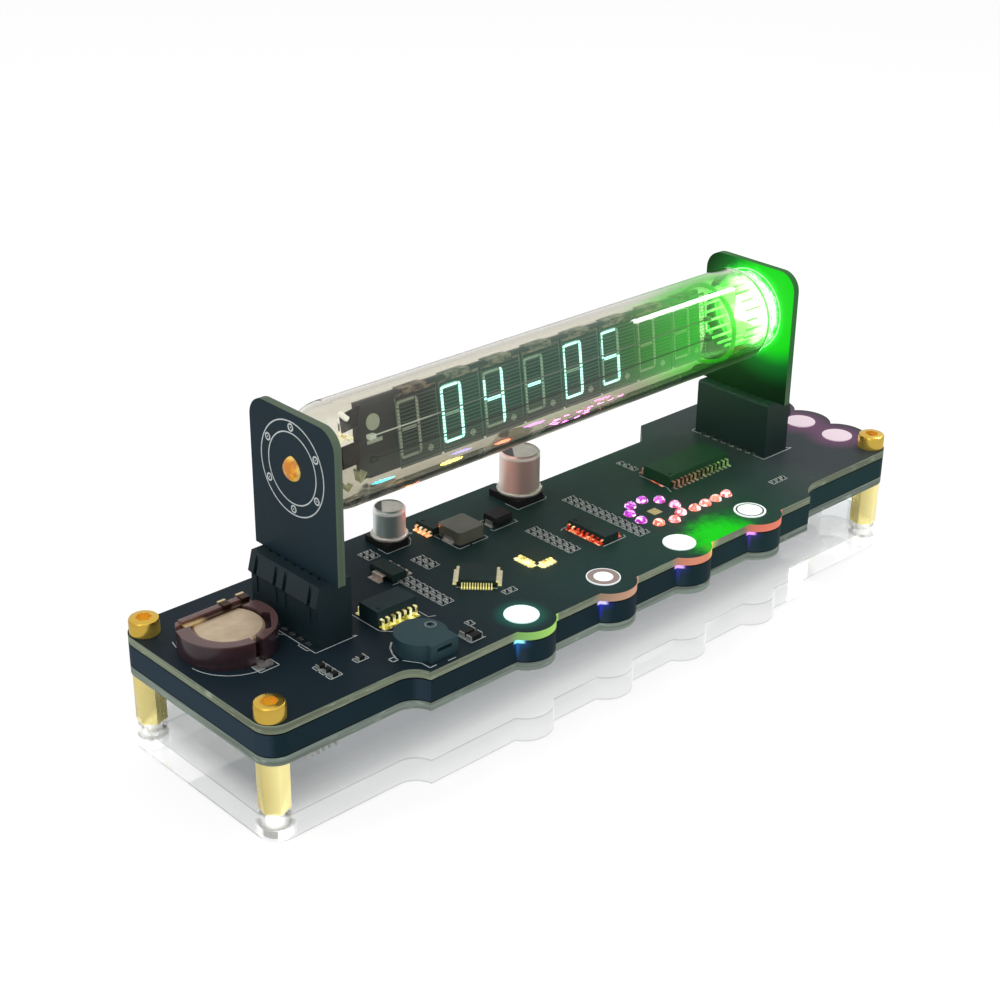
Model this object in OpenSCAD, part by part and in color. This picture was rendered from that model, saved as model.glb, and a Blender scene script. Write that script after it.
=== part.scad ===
// Desk clock with a long vacuum fluorescent tube held between two plug-in uprights
// over a stack of circuit boards on a clear base. Millimetres, +Z up, viewed from -Y.

/* [Board stack] */
// Thickness of the clear acrylic base
base_t = 5; // [4:0.5:8]
// Length of the hexagonal standoffs
standoff_h = 10; // [8:0.5:14]
// Width across the flats of a standoff
standoff_af = 5; // [4.5:0.1:5.5]
// Turn of the standoffs about their own axes, degrees
standoff_turn = 47; // [0:1:60]
// Thickness of the lower circuit board
lower_t = 1.6; // [1:0.2:2]
// Height of the dark spacer frame between the boards
spacer_h = 4.6; // [4.4:0.1:6]
// Width of the spacer frame's rim
spacer_rim = 3.8; // [3:0.1:4.2]
// Thickness of the main circuit board and of the uprights
board_t = 1.6; // [1.2:0.1:2]

/* [Board outline] */
// Length of board beyond each upright's inner face
end_bay = 24.3; // [24:0.1:28]
// Distance from the centre line to the back edge
back_edge = 22; // [21.5:0.1:24]
// Distance from the centre line to the front edge of the ends
front_edge = 21.7; // [21.4:0.1:22.5]
// How far the middle of the front edge steps out
front_step = 3.6; // [3:0.1:4.2]
// Radius of the curve that leads into the stepped front edge at its left end
step_r = 4.5; // [4.2:0.1:6]
// Radius of the flatter curve at the right end of the step
right_step_r = 7.5; // [7:0.1:9]
// Bare length of front edge at the left end, before the step
left_end_run = 31.4; // [30:0.2:33]
// Bare length of front edge at the right end, after the step
right_end_run = 32.4; // [31:0.2:34]
// Radius of the board's outer corners
corner_r = 4; // [3:0.1:5]
// Depth of the recess in the back edge
notch_depth = 5.8; // [5:0.1:6.2]
// Length of the floor of that recess
notch_len = 32.5; // [28:0.5:34]

/* [Touch keys] */
// Number of touch keys along the front edge
front_key_n = 4; // [3:1:4]
// Spacing of the front touch keys
front_key_pitch = 21; // [20:0.1:21.5]
// Spacing of the three touch keys on the right end
end_key_pitch = 10.1; // [9.9:0.1:10.4]
// Diameter of a touch key's white disc
key_d = 6.5; // [6:0.1:7]
// Thickness of the white disc
key_t = 0.2; // [0.1:0.05:0.4]
// Radius of a front lobe of the board
lobe_r = 5.6; // [5.4:0.1:6.2]
// Radius of a lobe on the right end
end_lobe_r = 6.3; // [6.1:0.1:6.6]

/* [Screws] */
// Diameter of the screw thread
screw_d = 3; // [2.5:0.1:3.1]
// Diameter of the socket heads
head_d = 5.5; // [5:0.1:5.7]
// Height of the socket heads on top
head_h = 3; // [2.5:0.1:3.5]
// Width of the hexagonal drive socket
drive_af = 2.5; // [2:0.1:3]
// Height of the low heads under the base
low_head_h = 1.8; // [1.4:0.1:2.2]
// Radial clearance of a screw in a board hole
hole_gap = 0.2; // [0.1:0.05:0.4]
// Radial clearance of a screw in a standoff
thread_gap = 0.05; // [0.02:0.01:0.1]
// Distance from a screw's axis to the end of the board
screw_inset = 3; // [2.95:0.05:3.6]
// Distance from a screw's axis to the centre line
screw_y = 18.3; // [17.8:0.1:18.6]

/* [Uprights and sockets] */
// Width of an upright
upright_w = 23.5; // [22:0.5:25]
// Height of an upright above its socket
upright_h = 28.6; // [27:0.2:32]
// Radius of the upright's top corners
upright_r = 4; // [2:0.2:6]
// Width of the tongue that plugs in
tongue_w = 17; // [16:0.2:17.6]
// Depth of the slot in a socket
slot_depth = 8.4; // [7.5:0.1:9]
// Clearance all round the tongue in its slot
slot_gap = 0.15; // [0.1:0.05:0.3]
// Height of a socket
socket_h = 11.9; // [11:0.1:13]
// Width of a socket at its collar
socket_w = 8.6; // [8.2:0.1:9]
// Length of a socket
socket_len = 19.4; // [19:0.1:20.4]
// Height of the bevelled collar
collar_h = 3.8; // [3:0.1:4.5]
// Bevel of the collar
collar_bevel = 1; // [0.6:0.1:1.2]
// Number of contacts on each side of a socket
contact_n = 7; // [5:1:7]
// Spacing of the contacts
contact_pitch = 2.3; // [2:0.05:2.4]

/* [Display tube] */
// Length of the glass tube
tube_len = 115; // [113:0.5:120]
// Outer diameter of the glass
tube_d = 19.6; // [18.5:0.1:20.5]
// Thickness of the glass
glass_t = 1; // [0.8:0.1:1.2]
// Radius of the glass at the domed left end
dome_r = 7; // [5:0.1:8]
// Radius of the glass at the right end
heel_r = 3; // [2:0.1:4]
// Height of the tube's axis above the main board
axis_h = 30.2; // [29.5:0.1:31]
// Distance of the tube's axis behind the board's centre line
axis_y = 2.7; // [2.2:0.1:3.2]
// Gap between the dome and the left upright
dome_gap = 0.4; // [0.3:0.05:0.8]
// Gap between the right end of the glass and the right upright
heel_gap = 2; // [1.9:0.1:2.4]
// Lean of the display plane, degrees
lean = 7.6; // [5:0.2:10]
// Number of lead wires
lead_n = 20; // [12:1:22]
// Diameter of a lead wire
lead_d = 0.5; // [0.4:0.05:0.6]
// Radius of the ring of lead wires
lead_ring_r = 6.3; // [5.9:0.1:6.7]

/* [Digits] */
// Number of digits
digit_n = 8; // [7:1:8]
// Spacing of the digits
digit_pitch = 10.32; // [10.1:0.02:10.6]
// Height of a digit
digit_h = 11.1; // [10.5:0.1:11.4]
// Width of a digit
digit_w = 5; // [4.6:0.1:5.4]
// Width of a segment's stroke
stroke = 0.55; // [0.45:0.05:0.7]
// Gap between segments
seg_gap = 0.3; // [0.2:0.05:0.4]
// Thickness of the phosphor layer
seg_t = 0.15; // [0.1:0.05:0.25]
// Number of wires in a control grid
grid_wire_n = 16; // [10:1:18]

/* [Parts on the board] */
// Diameter of the backup coin cell
coin_d = 12.5; // [12:0.1:13]
// Thickness of the coin cell
coin_h = 2; // [1.6:0.1:2.3]
// Outer diameter of the coin cell holder
holder_d = 17.6; // [17:0.1:18]
// Height of the coin cell holder
holder_h = 4.6; // [4.5:0.1:5]
// Diameter of the small capacitor
small_cap_d = 6.3; // [6:0.1:6.6]
// Height of the small capacitor
small_cap_h = 7.7; // [7:0.1:8.5]
// Diameter of the large capacitor
large_cap_d = 8.2; // [7.8:0.1:8.6]
// Height of the large capacitor
large_cap_h = 10.2; // [9:0.1:11]
// Side of the inductor
inductor_w = 6.5; // [6.2:0.1:6.8]
// Height of the inductor
inductor_h = 2.9; // [2.6:0.1:3.6]
// Diameter of the buzzer
buzzer_d = 9.6; // [9:0.1:10]
// Height of the buzzer
buzzer_h = 3.2; // [2.6:0.1:3.8]
// Diameter of the jewel lights
jewel_d = 1.9; // [1.6:0.05:2.1]
// Number of jewel lights in the ring
jewel_ring_n = 9; // [7:1:9]
// Number of jewel lights in the row
jewel_row_n = 4; // [2:1:4]

/* [Hidden] */
$fn = 48;

// Heights of the stack
z_lower = base_t + standoff_h;
z_spacer = z_lower + lower_t;
z_main = z_spacer + spacer_h;
z_top = z_main + board_t;
z_socket = z_top + socket_h;

// Lengths along the display
upright_span = tube_len + dome_gap + heel_gap;
half_len = upright_span / 2 + end_bay;
display_x = 2.1;
left_face_x = display_x - upright_span / 2;
right_face_x = display_x + upright_span / 2;
left_socket_x = left_face_x - board_t / 2;
right_socket_x = right_face_x + board_t / 2;
tube_x0 = left_face_x + dome_gap;
tube_mid_x = tube_x0 + tube_len / 2;
z_axis = z_top + axis_h;

// Front edge, keys and lobes
mid_front = front_edge + front_step;
mid_x0 = -half_len + left_end_run;
mid_x1 = half_len - right_end_run;
front_key_x = [for (i = [0 : front_key_n - 1]) 4.8 + (i - (front_key_n - 1) / 2) * front_key_pitch];
front_key_y = -front_edge + 0.35;
lobe_y = front_key_y - 1;
end_key_x = half_len - 4;
end_lobe_x = half_len - 3.5;
end_key_y = [for (i = [-1 : 1]) i * end_key_pitch];
notch_x0 = 12.5;
notch_x1 = notch_x0 + notch_len;
notch_y = back_edge - notch_depth;

// Origin at the middle of the underside of the whole outline
reach_x = end_lobe_x + end_lobe_r;
reach_y = -lobe_y + lobe_r;
shift_x = (half_len - reach_x) / 2;
shift_y = (reach_y - back_edge) / 2;

// Places of the parts on the main board, x and y. They spread with the distance between the sockets.
layout_span = 117.4;
function spread(x) = display_x + (x - display_x) * upright_span / layout_span;

coin_at = [left_socket_x - socket_w / 2 - holder_d / 2 - 1.3, 4.9];
buzzer_at = [spread(-47.6), -18.1];
small_cap_at = [spread(-26), 16.2];
large_cap_at = [spread(6.6), 14.4];
inductor_at = [spread(-14.4), 8.6];
rectifier_at = [spread(-4.85), 8.4];
regulator_at = [spread(-34.8), 6.1];
converter_at = [spread(-16.6), 14.7];
clock_chip_at = [spread(-44.5), -5.45];
controller_at = [spread(-23.3), -6];
sensor_at = [spread(-10.3), -8.2];
register_at = [spread(5.8), -7.4];
driver_at = [spread(41.1), 0.2];
jewel_ring_at = [spread(21.7), -9];
jewel_ring_r = 5.2;
jewel_turn = 32;
jewel_row_at = jewel_ring_at + [7, -4.4];
jewel_pitch = 3.2;
link_at = [spread(-30), 0];
usb_x = (notch_x0 + notch_x1) / 2;
service_pins_at = [-half_len + 8.8, -front_edge + 2.1];
screw_x = half_len - screw_inset;

// Usual gap that keeps a curved face off its neighbour
fit = 0.1;
eps = 0.01;

// Put a piece, drawn about the board's centre line, in the part's own frame
module placed(z = 0) {
    translate([shift_x, shift_y, z]) children();
}

module on_board(at, turn = 0, z = z_top) {
    placed(z) translate([at[0], at[1], 0]) rotate(turn) children();
}

module at_screws() {
    for (x = [-screw_x, screw_x], y = [-screw_y, screw_y]) translate([x, y]) children();
}

// Rectangle with round corners, centred
module round_rect(w, h, r) {
    square([w - 2 * r, h], center = true);
    square([w, h - 2 * r], center = true);
    for (x = [-1, 1], y = [-1, 1]) translate([x * (w / 2 - r), y * (h / 2 - r)]) circle(r);
}

// Corner piece of the front step, with the curve cut into it. It grows towards +x.
module step_corner(r) {
    run = sqrt(front_step * (2 * r - front_step));
    sweep = 90 - atan2(r - front_step, run);
    steps = 20;
    bend = [for (i = [0 : steps - 1]) [r * sin(sweep * i / steps) - run, r * cos(sweep * i / steps) - r]];
    polygon(concat(bend, [[0, -front_step], [1, -front_step], [1, 1], [-run, 1]]));
}

module rear_notch() {
    polygon([[notch_x0 - notch_depth - 1, back_edge + 1], [notch_x0, notch_y], [notch_x1, notch_y],
        [notch_x1 + notch_depth + 1, back_edge + 1]]);
}

module board_outline() {
    difference() {
        union() {
            translate([0, (back_edge - front_edge) / 2]) round_rect(2 * half_len, back_edge + front_edge, corner_r);
            translate([mid_x0, -mid_front]) square([mid_x1 - mid_x0, mid_front]);
            translate([mid_x0, -front_edge]) step_corner(step_r);
            translate([mid_x1, -front_edge]) mirror([1, 0]) step_corner(right_step_r);
            for (x = front_key_x) translate([x, lobe_y]) circle(lobe_r);
            for (y = end_key_y) translate([end_lobe_x, y]) circle(end_lobe_r);
        }
        rear_notch();
    }
}

module screw_holes(r) {
    at_screws() circle(r);
}

// Base, standoffs and screws
counterbore_d = head_d + 2 * hole_gap;
counterbore_h = low_head_h + 0.3;
top_shank = board_t + spacer_h + lower_t + standoff_h * 0.42;
base_shank = base_t - counterbore_h + standoff_h * 0.42;
head_edge = 0.35;

module base_plate() {
    placed() color([0.9, 0.93, 0.94, 0.5]) difference() {
        linear_extrude(base_t) difference() {
            board_outline();
            screw_holes(screw_d / 2 + hole_gap);
        }
        translate([0, 0, -eps]) linear_extrude(counterbore_h + eps) screw_holes(counterbore_d / 2);
    }
}

module screw(head, shank) {
    difference() {
        union() {
            cylinder(h = head - head_edge, d = head_d);
            translate([0, 0, head - head_edge - eps])
                cylinder(h = head_edge + eps, d1 = head_d, d2 = head_d - 2 * head_edge);
            translate([0, 0, -shank]) cylinder(h = shank + eps, d = screw_d);
        }
        translate([0, 0, head / 2]) cylinder(h = head, d = drive_af / cos(30), $fn = 6);
    }
}

module base_screws() {
    placed(counterbore_h) color("goldenrod") at_screws() rotate([180, 0, 0]) screw(low_head_h, base_shank);
}

module top_screws() {
    placed(z_top) color("goldenrod") at_screws() screw(head_h, top_shank);
}

module standoffs() {
    placed(base_t) color("goldenrod") at_screws() difference() {
        rotate(standoff_turn) cylinder(h = standoff_h, d = standoff_af / cos(30), $fn = 6);
        translate([0, 0, -eps]) cylinder(h = standoff_h + 2 * eps, d = screw_d + 2 * thread_gap);
    }
}

// Boards and spacer
pin_n = 6;
pin_pitch = 1.27;
pin_side = 0.45;

module lower_board() {
    placed(z_lower) color("darkslategray") linear_extrude(lower_t) difference() {
        board_outline();
        screw_holes(screw_d / 2 + hole_gap);
        for (i = [0 : pin_n - 1])
            translate([service_pins_at[0] + i * pin_pitch, service_pins_at[1]]) circle(d = pin_side + 0.4);
    }
}

module main_board() {
    placed(z_main) color([0.09, 0.14, 0.15]) linear_extrude(board_t) difference() {
        board_outline();
        screw_holes(screw_d / 2 + hole_gap);
    }
}

// The light wells under the keys open into the long chamber of the frame
chamber_end = half_len - 9;
light_well_r = 4.2;
usb_w = 8.9;
usb_h = 3.2;
usb_len = 7.4;
usb_reach = 0.7;
usb_wall = 0.35;

module spacer_frame() {
    placed(z_spacer) color("midnightblue") linear_extrude(spacer_h) difference() {
        board_outline();
        screw_holes(screw_d / 2 + hole_gap);
        translate([-chamber_end, -front_edge + spacer_rim])
            square([2 * chamber_end, front_edge - spacer_rim + notch_y - spacer_rim]);
        translate([mid_x0 + 2, -mid_front + spacer_rim]) square([mid_x1 - mid_x0 - 4, mid_front]);
        translate([-chamber_end, 0]) square([chamber_end + notch_x0 - notch_depth - 2, back_edge - spacer_rim]);
        translate([notch_x1 + notch_depth + 2, 0])
            square([chamber_end - notch_x1 - notch_depth - 2, back_edge - spacer_rim]);
        for (x = front_key_x) translate([x, lobe_y]) circle(light_well_r);
        for (y = end_key_y) translate([end_key_x, y]) circle(light_well_r);
        for (y = end_key_y) translate([chamber_end - 1, y - 2]) square([end_key_x - chamber_end, 4]);
        translate([usb_x - usb_w / 2 - 0.2, notch_y - spacer_rim - 1]) square([usb_w + 0.4, spacer_rim + 2]);
    }
}

// Stacking connector that joins the two boards inside the frame
module board_link() {
    on_board(link_at, 0, z_spacer) color("black") {
        translate([-6.4, -2.5, 0]) cube([12.8, 5, spacer_h]);
    }
}

module service_pins() {
    placed(z_spacer) color("silver") for (i = [0 : pin_n - 1])
        translate([service_pins_at[0] + i * pin_pitch - pin_side / 2, service_pins_at[1] - pin_side / 2, -lower_t - 2.4])
            cube([pin_side, pin_side, lower_t + 2.4]);
}

// USB-C power inlet, its mouth in the rear recess
module at_usb() {
    placed(z_spacer) translate([usb_x, notch_y + usb_reach, usb_h / 2]) rotate([90, 0, 0]) children();
}

module usb_shell() {
    at_usb() color("silver") difference() {
        linear_extrude(usb_len) round_rect(usb_w, usb_h, usb_h / 2 - eps);
        translate([0, 0, -1]) linear_extrude(usb_len - 0.6 + 1)
            round_rect(usb_w - 2 * usb_wall, usb_h - 2 * usb_wall, usb_h / 2 - usb_wall - eps);
    }
}

module usb_tongue() {
    at_usb() color("black") {
        translate([-3.3, -0.35, 1]) cube([6.6, 0.7, usb_len - 1.6]);
        translate([-3.4, -1, usb_len - 2.1]) cube([6.8, 2, 1.5]);
    }
}

// Sockets for the uprights
slot_w = board_t + 2 * slot_gap;
slot_len = tongue_w + 2 * slot_gap;
body_inset = 0.7;
groove_w = 0.9;
groove_d = 0.45;
contact_w = 0.7;
contact_t = 0.3;
foot_reach = 0.9;
collar_notch_y = [-7.6, -0.6, 2.1, 7.7];
collar_notch_w = 0.9;
collar_notch_d = 0.9;
inner_chamfer = 0.4;
contact_drop = 1.2;

function contact_y(i) = (i - (contact_n - 1) / 2) * contact_pitch;

// Cross section of the left socket, x across, y up: collar on the outer side, plain on the inner side
module socket_profile() {
    inner = socket_w / 2 - body_inset;
    polygon([[-inner, 0], [inner, 0], [inner, socket_h - inner_chamfer], [inner - inner_chamfer, socket_h],
        [-socket_w / 2 + collar_bevel, socket_h], [-socket_w / 2, socket_h - collar_h],
        [-inner, socket_h - collar_h - 0.8]]);
}

module socket() {
    difference() {
        translate([0, socket_len / 2, 0]) rotate([90, 0, 0]) linear_extrude(socket_len) socket_profile();
        translate([-slot_w / 2, -slot_len / 2, socket_h - slot_depth]) cube([slot_w, slot_len, slot_depth + 1]);
        for (s = [0, 1], i = [0 : contact_n - 1]) mirror([s, 0, 0]) translate([0, contact_y(i) - groove_w / 2, 0]) {
            translate([slot_w / 2 - eps, 0, contact_t + fit]) cube([groove_d, groove_w, socket_h]);
            translate([slot_w / 2 - eps, 0, -1]) cube([socket_w, groove_w, contact_t + fit + 1 + eps]);
        }
        for (y = collar_notch_y) translate([-socket_w / 2, y, socket_h - collar_h])
            cube([2 * collar_notch_d, collar_notch_w, 2 * collar_h + 0.4], center = true);
    }
}

module socket_contacts() {
    foot_x = socket_w / 2 - body_inset + foot_reach;
    for (s = [0, 1], i = [0 : contact_n - 1]) mirror([s, 0, 0]) translate([0, contact_y(i) + contact_w / 2, 0])
        rotate([90, 0, 0]) linear_extrude(contact_w) polygon([[slot_w / 2, 0], [foot_x, 0], [foot_x, contact_t],
            [slot_w / 2 + contact_t, contact_t], [slot_w / 2 + contact_t, socket_h - contact_drop],
            [slot_w / 2, socket_h - contact_drop]]);
}

module left_socket() { on_board([left_socket_x, axis_y]) color([0.1, 0.12, 0.14]) socket(); }
module right_socket() { on_board([right_socket_x, axis_y]) color([0.1, 0.12, 0.14]) mirror([1, 0, 0]) socket(); }
module left_contacts() { on_board([left_socket_x, axis_y]) color("gold") socket_contacts(); }
module right_contacts() { on_board([right_socket_x, axis_y]) color("gold") socket_contacts(); }

// Uprights: drawn flat with x across the board and y up, then stood on their tongue
tip_d = 2.6;
grommet_neck_d = 4.2;
grommet_flange_d = 5.8;

module upright_outline() {
    translate([-upright_w / 2, 0]) square([upright_w, upright_h - upright_r]);
    translate([-upright_w / 2 + upright_r, 0]) square([upright_w - 2 * upright_r, upright_h]);
    for (s = [-1, 1]) translate([s * (upright_w / 2 - upright_r), upright_h - upright_r]) circle(upright_r);
    polygon([[-tongue_w / 2, 1], [-tongue_w / 2, -slot_depth + 1.2], [-tongue_w / 2 + 0.8, -slot_depth + 0.4],
        [tongue_w / 2 - 0.8, -slot_depth + 0.4], [tongue_w / 2, -slot_depth + 1.2], [tongue_w / 2, 1]]);
}

module stood(x) {
    placed(z_socket) translate([x, axis_y, 0]) rotate([90, 0, 90]) children();
}

module left_upright() {
    stood(left_face_x - board_t) color([0.12, 0.17, 0.19]) linear_extrude(board_t) difference() {
        upright_outline();
        translate([0, z_axis - z_socket]) circle(d = grommet_neck_d + 2 * fit);
    }
}

module at_leads() {
    for (i = [0 : lead_n - 1]) rotate(360 * (i + 0.5) / lead_n) translate([lead_ring_r, 0]) children();
}

module right_upright() {
    stood(right_face_x) color([0.12, 0.17, 0.19]) linear_extrude(board_t) difference() {
        upright_outline();
        translate([0, z_axis - z_socket]) at_leads() circle(d = lead_d + 2 * fit, $fn = 16);
    }
}

// Display tube, drawn along +X from its left end with its axis on the origin
module in_tube() {
    placed(z_axis) translate([tube_x0, axis_y, 0]) children();
}

module along_x() {
    rotate([90, 0, 90]) children();
}

// Half section of the glass shape: radius across, length up
module tube_half(r, len, r0, r1) {
    translate([0, r0]) square([r, len - r0 - r1]);
    square([r - r0, len]);
    translate([0, len - r1]) square([r - r1, r1]);
    translate([r - r0, r0]) intersection() { circle(r0); translate([0, -r0]) square(r0); }
    translate([r - r1, len - r1]) intersection() { circle(r1); square(r1); }
}

tip_len = board_t + dome_gap + 0.9;
lead_inside = 6;

module tube_glass() {
    in_tube() color([0.75, 0.8, 0.78, 0.35]) {
        along_x() difference() {
            rotate_extrude() tube_half(tube_d / 2, tube_len, dome_r, heel_r);
            translate([0, 0, glass_t]) rotate_extrude()
                tube_half(tube_d / 2 - glass_t, tube_len - 2 * glass_t, dome_r - glass_t, heel_r - glass_t);
            translate([0, 0, tube_len - glass_t - 1]) at_leads() cylinder(h = glass_t + 2, d = lead_d + 2 * fit, $fn = 16);
        }
        translate([0.5, 0, 0]) rotate([0, -90, 0]) {
            cylinder(h = tip_len + 0.5 - tip_d / 2, d = tip_d);
            translate([0, 0, tip_len + 0.5 - tip_d / 2]) sphere(d = tip_d);
        }
    }
}

module tube_leads() {
    in_tube() color("silver") along_x() translate([0, 0, tube_len - lead_inside]) at_leads()
        cylinder(h = lead_inside + heel_gap + board_t, d = lead_d, $fn = 16);
}

// Leaning plane that carries the digits. Its front faces -Y.
mark_pitch = 8;
digit_first_x = tube_len / 2 + 3 - (digit_n - 1) / 2 * digit_pitch;
mark_x = digit_first_x - mark_pitch;
substrate_h = 14.4;
substrate_t = 1;
substrate_x0 = mark_x - 3.4;
substrate_len = digit_first_x + (digit_n - 1) * digit_pitch + digit_pitch / 2 + 0.6 - substrate_x0;
plane_y = 0.8;
digit_z = -0.3;
grid_y = plane_y - 1.6;
filament_y = grid_y - 1.2;

module on_plane() {
    in_tube() rotate([-lean, 0, 0]) children();
}

module tube_substrate() {
    on_plane() color([0.3, 0.36, 0.35]) translate([substrate_x0, plane_y, -substrate_h / 2])
        cube([substrate_len, substrate_t, substrate_h]);
}

// Segments: a ring with round corners, cut into zones
corner = 1;
corner_share = 1.3;
half_w = digit_w / 2;
half_h = digit_h / 2;
shown = ["", "abcdef", "bcfg", "g", "abcdef", "acdfg", "", ""];
segment_names = "abcdefg";

function is_lit(i, s) = len(search(s, shown[i])) > 0;

module digit_ring() {
    difference() {
        round_rect(digit_w, digit_h, corner);
        round_rect(digit_w - 2 * stroke, digit_h - 2 * stroke, corner - stroke);
    }
}

// Region that a segment takes from the ring: a and d hold the left corners, b and c the right ones
module segment_zone(s) {
    side = half_w - stroke - seg_gap;
    if (s == "a") translate([-half_w - 1, half_h - corner_share]) square([half_w + 1 + side, corner_share + 1]);
    if (s == "d") translate([-half_w - 1, -half_h - 1]) square([half_w + 1 + side, corner_share + 1]);
    if (s == "b") translate([side + seg_gap, seg_gap / 2]) square([stroke + 1, half_h + 1]);
    if (s == "c") translate([side + seg_gap, -half_h - 1 - seg_gap / 2]) square([stroke + 1, half_h + 1]);
    if (s == "f") translate([-half_w - 1, seg_gap / 2]) square([stroke + 1.3, half_h - corner_share - 1.5 * seg_gap]);
    if (s == "e") translate([-half_w - 1, -half_h + corner_share + seg_gap])
        square([stroke + 1.3, half_h - corner_share - 1.5 * seg_gap]);
}

module segment(s) {
    if (s == "g") {
        translate([-(half_w - stroke - seg_gap), -stroke / 2]) square([2 * (half_w - stroke - seg_gap), stroke]);
    } else {
        intersection() {
            digit_ring();
            segment_zone(s);
        }
    }
}

// Lay a flat figure on the front of the substrate
module printed(x) {
    on_plane() translate([x, plane_y, digit_z]) rotate([90, 0, 0]) linear_extrude(seg_t) children();
}

module lit_segments() {
    color([0.6, 1, 0.92]) for (i = [0 : digit_n - 1], s = segment_names)
        if (is_lit(i, s)) printed(digit_first_x + i * digit_pitch) segment(s);
}

module unlit_segments() {
    color([0.7, 0.72, 0.68]) {
        for (i = [0 : digit_n - 1]) {
            for (s = segment_names) if (!is_lit(i, s)) printed(digit_first_x + i * digit_pitch) segment(s);
            printed(digit_first_x + i * digit_pitch) translate([half_w + 2, -half_h + 0.4]) circle(0.65);
        }
        printed(mark_x) translate([0, 3.3]) circle(1.5);
        printed(mark_x) translate([-1.7, -0.5]) square([3.4, 0.7]);
    }
}

// One framed grid of fine wires in front of each digit. A flap above and below hooks over the substrate.
grid_w = digit_pitch - 0.7;
grid_h = substrate_h - 0.8;
grid_t = 0.15;
grid_frame = 0.5;
grid_wire = 0.12;
flap_w = 5.6;
flap_t = 0.2;
flap_lip = 1;

module grid_flap() {
    back = plane_y + substrate_t + 0.05;
    top = substrate_h / 2 + 0.05;
    translate([-flap_w / 2, grid_y, grid_h / 2 - eps]) cube([flap_w, grid_t, top + flap_t - grid_h / 2 + eps]);
    translate([-flap_w / 2, grid_y, top]) cube([flap_w, back + flap_t - grid_y, flap_t]);
    translate([-flap_w / 2, back, top - flap_lip]) cube([flap_w, flap_t, flap_lip + flap_t]);
}

module control_grids() {
    open_h = grid_h - 2 * grid_frame;
    step = open_h / (grid_wire_n + 1);
    on_plane() color([0.45, 0.47, 0.44]) {
        for (i = [0 : digit_n - 1]) translate([digit_first_x + i * digit_pitch + 0.9, 0, 0]) {
            difference() {
                translate([-grid_w / 2, grid_y, -grid_h / 2]) cube([grid_w, grid_t, grid_h]);
                for (k = [0 : grid_wire_n])
                    translate([-grid_w / 2 + grid_frame, grid_y - 1, -open_h / 2 + k * step + grid_wire / 2])
                        cube([grid_w - 2 * grid_frame, 2, step - grid_wire]);
            }
            grid_flap();
            mirror([0, 0, 1]) grid_flap();
        }
    }
}

// Spacer discs that centre the assembly in the glass, with a window below and above the substrate
spacer_t = 0.5;
spacer_r = tube_d / 2 - glass_t - 0.3;
spacer_x = [substrate_x0 - spacer_t, substrate_x0 + substrate_len];
wire_d = 0.25;
wire_z = [1.6, -2.6];
post_len = 1.4;

module tube_spacers() {
    in_tube() color([0.72, 0.7, 0.62]) {
        for (x = spacer_x) translate([x, 0, 0]) along_x() linear_extrude(spacer_t) difference() {
            circle(spacer_r);
            for (s = [-1, 1]) translate([0, s * (spacer_r - 3.4)]) round_rect(7, 3, 1);
        }
        translate([spacer_x[0] - 3.4, -1.1, 5.4]) cube([3.4 + eps, 1.1, 1.4]);
    }
}

// Heater wires, each hooked over a flat spring post on the inner side of each disc
module filament_wires() {
    wire_x0 = spacer_x[0] + spacer_t;
    wire_len = spacer_x[1] - wire_x0;
    on_plane() color([0.85, 0.85, 0.82]) for (z = wire_z) {
        translate([wire_x0, filament_y, z]) rotate([0, 90, 0]) cylinder(h = wire_len, d = wire_d, $fn = 16);
        for (x = [wire_x0, wire_x0 + wire_len - post_len]) translate([x, filament_y - 0.5, z - 0.4])
            cube([post_len, 1, 0.8]);
    }
}

// Getter ring on its strap and two folded straps below it, outside the left disc
getter_r = 3;
strap_w = 1.2;

module getter() {
    in_tube() color([0.8, 0.74, 0.55]) {
        translate([spacer_x[0] - 4.4, 0, 1.6]) {
            rotate([0, 90, 0]) rotate_extrude() translate([getter_r - 0.9, 0]) square([0.9, 0.7]);
            translate([0.7 - eps, -strap_w / 2, getter_r - 0.9]) cube([3.7 + eps, strap_w, 0.9]);
        }
        translate([spacer_x[0] - 3.9, -1.7, 1.1]) cube([2.6, 1.5, 1.2]);
        translate([spacer_x[0] - 2.2, -1.7, 1.3]) cube([2.2, 0.4, 0.8]);
        for (y = [-3.2, 1.8]) {
            translate([spacer_x[0] - 3.2, y, -5.6]) cube([3.2, strap_w, 0.3]);
            translate([spacer_x[0] - 3.2, y, -7]) cube([0.3, strap_w, 1.4 + 0.3]);
        }
    }
}

// Soft grommet that holds the glass tip in the left upright
module tip_grommet() {
    cap_h = 0.6;
    flange_h = 0.9;
    placed(z_axis) translate([left_face_x - board_t, axis_y, 0]) rotate([0, -90, 0]) color([0.95, 0.65, 0.1]) difference() {
        union() {
            translate([0, 0, -board_t]) cylinder(h = board_t + eps, d = grommet_neck_d);
            cylinder(h = flange_h, d = grommet_flange_d);
            translate([0, 0, flange_h - eps]) cylinder(h = cap_h, d1 = grommet_flange_d, d2 = grommet_flange_d - 2 * cap_h);
            translate([0, 0, flange_h + cap_h - 2 * eps]) cylinder(h = cap_h, d = tip_d + 1);
        }
        translate([0, 0, -board_t - 1]) cylinder(h = board_t + 1 + 1.1, d = tip_d + 2 * fit);
    }
}

// Light at the centre of the ring of leads
module tube_light() {
    placed(z_axis) translate([right_face_x, axis_y, 0]) color([0.5, 1, 0.5]) {
        translate([-1, -2.5, -2.5]) cube([1, 5, 5]);
        translate([-1.3, 0, 0]) rotate([0, 90, 0]) cylinder(h = 0.3 + eps, d = 4);
    }
}

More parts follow.
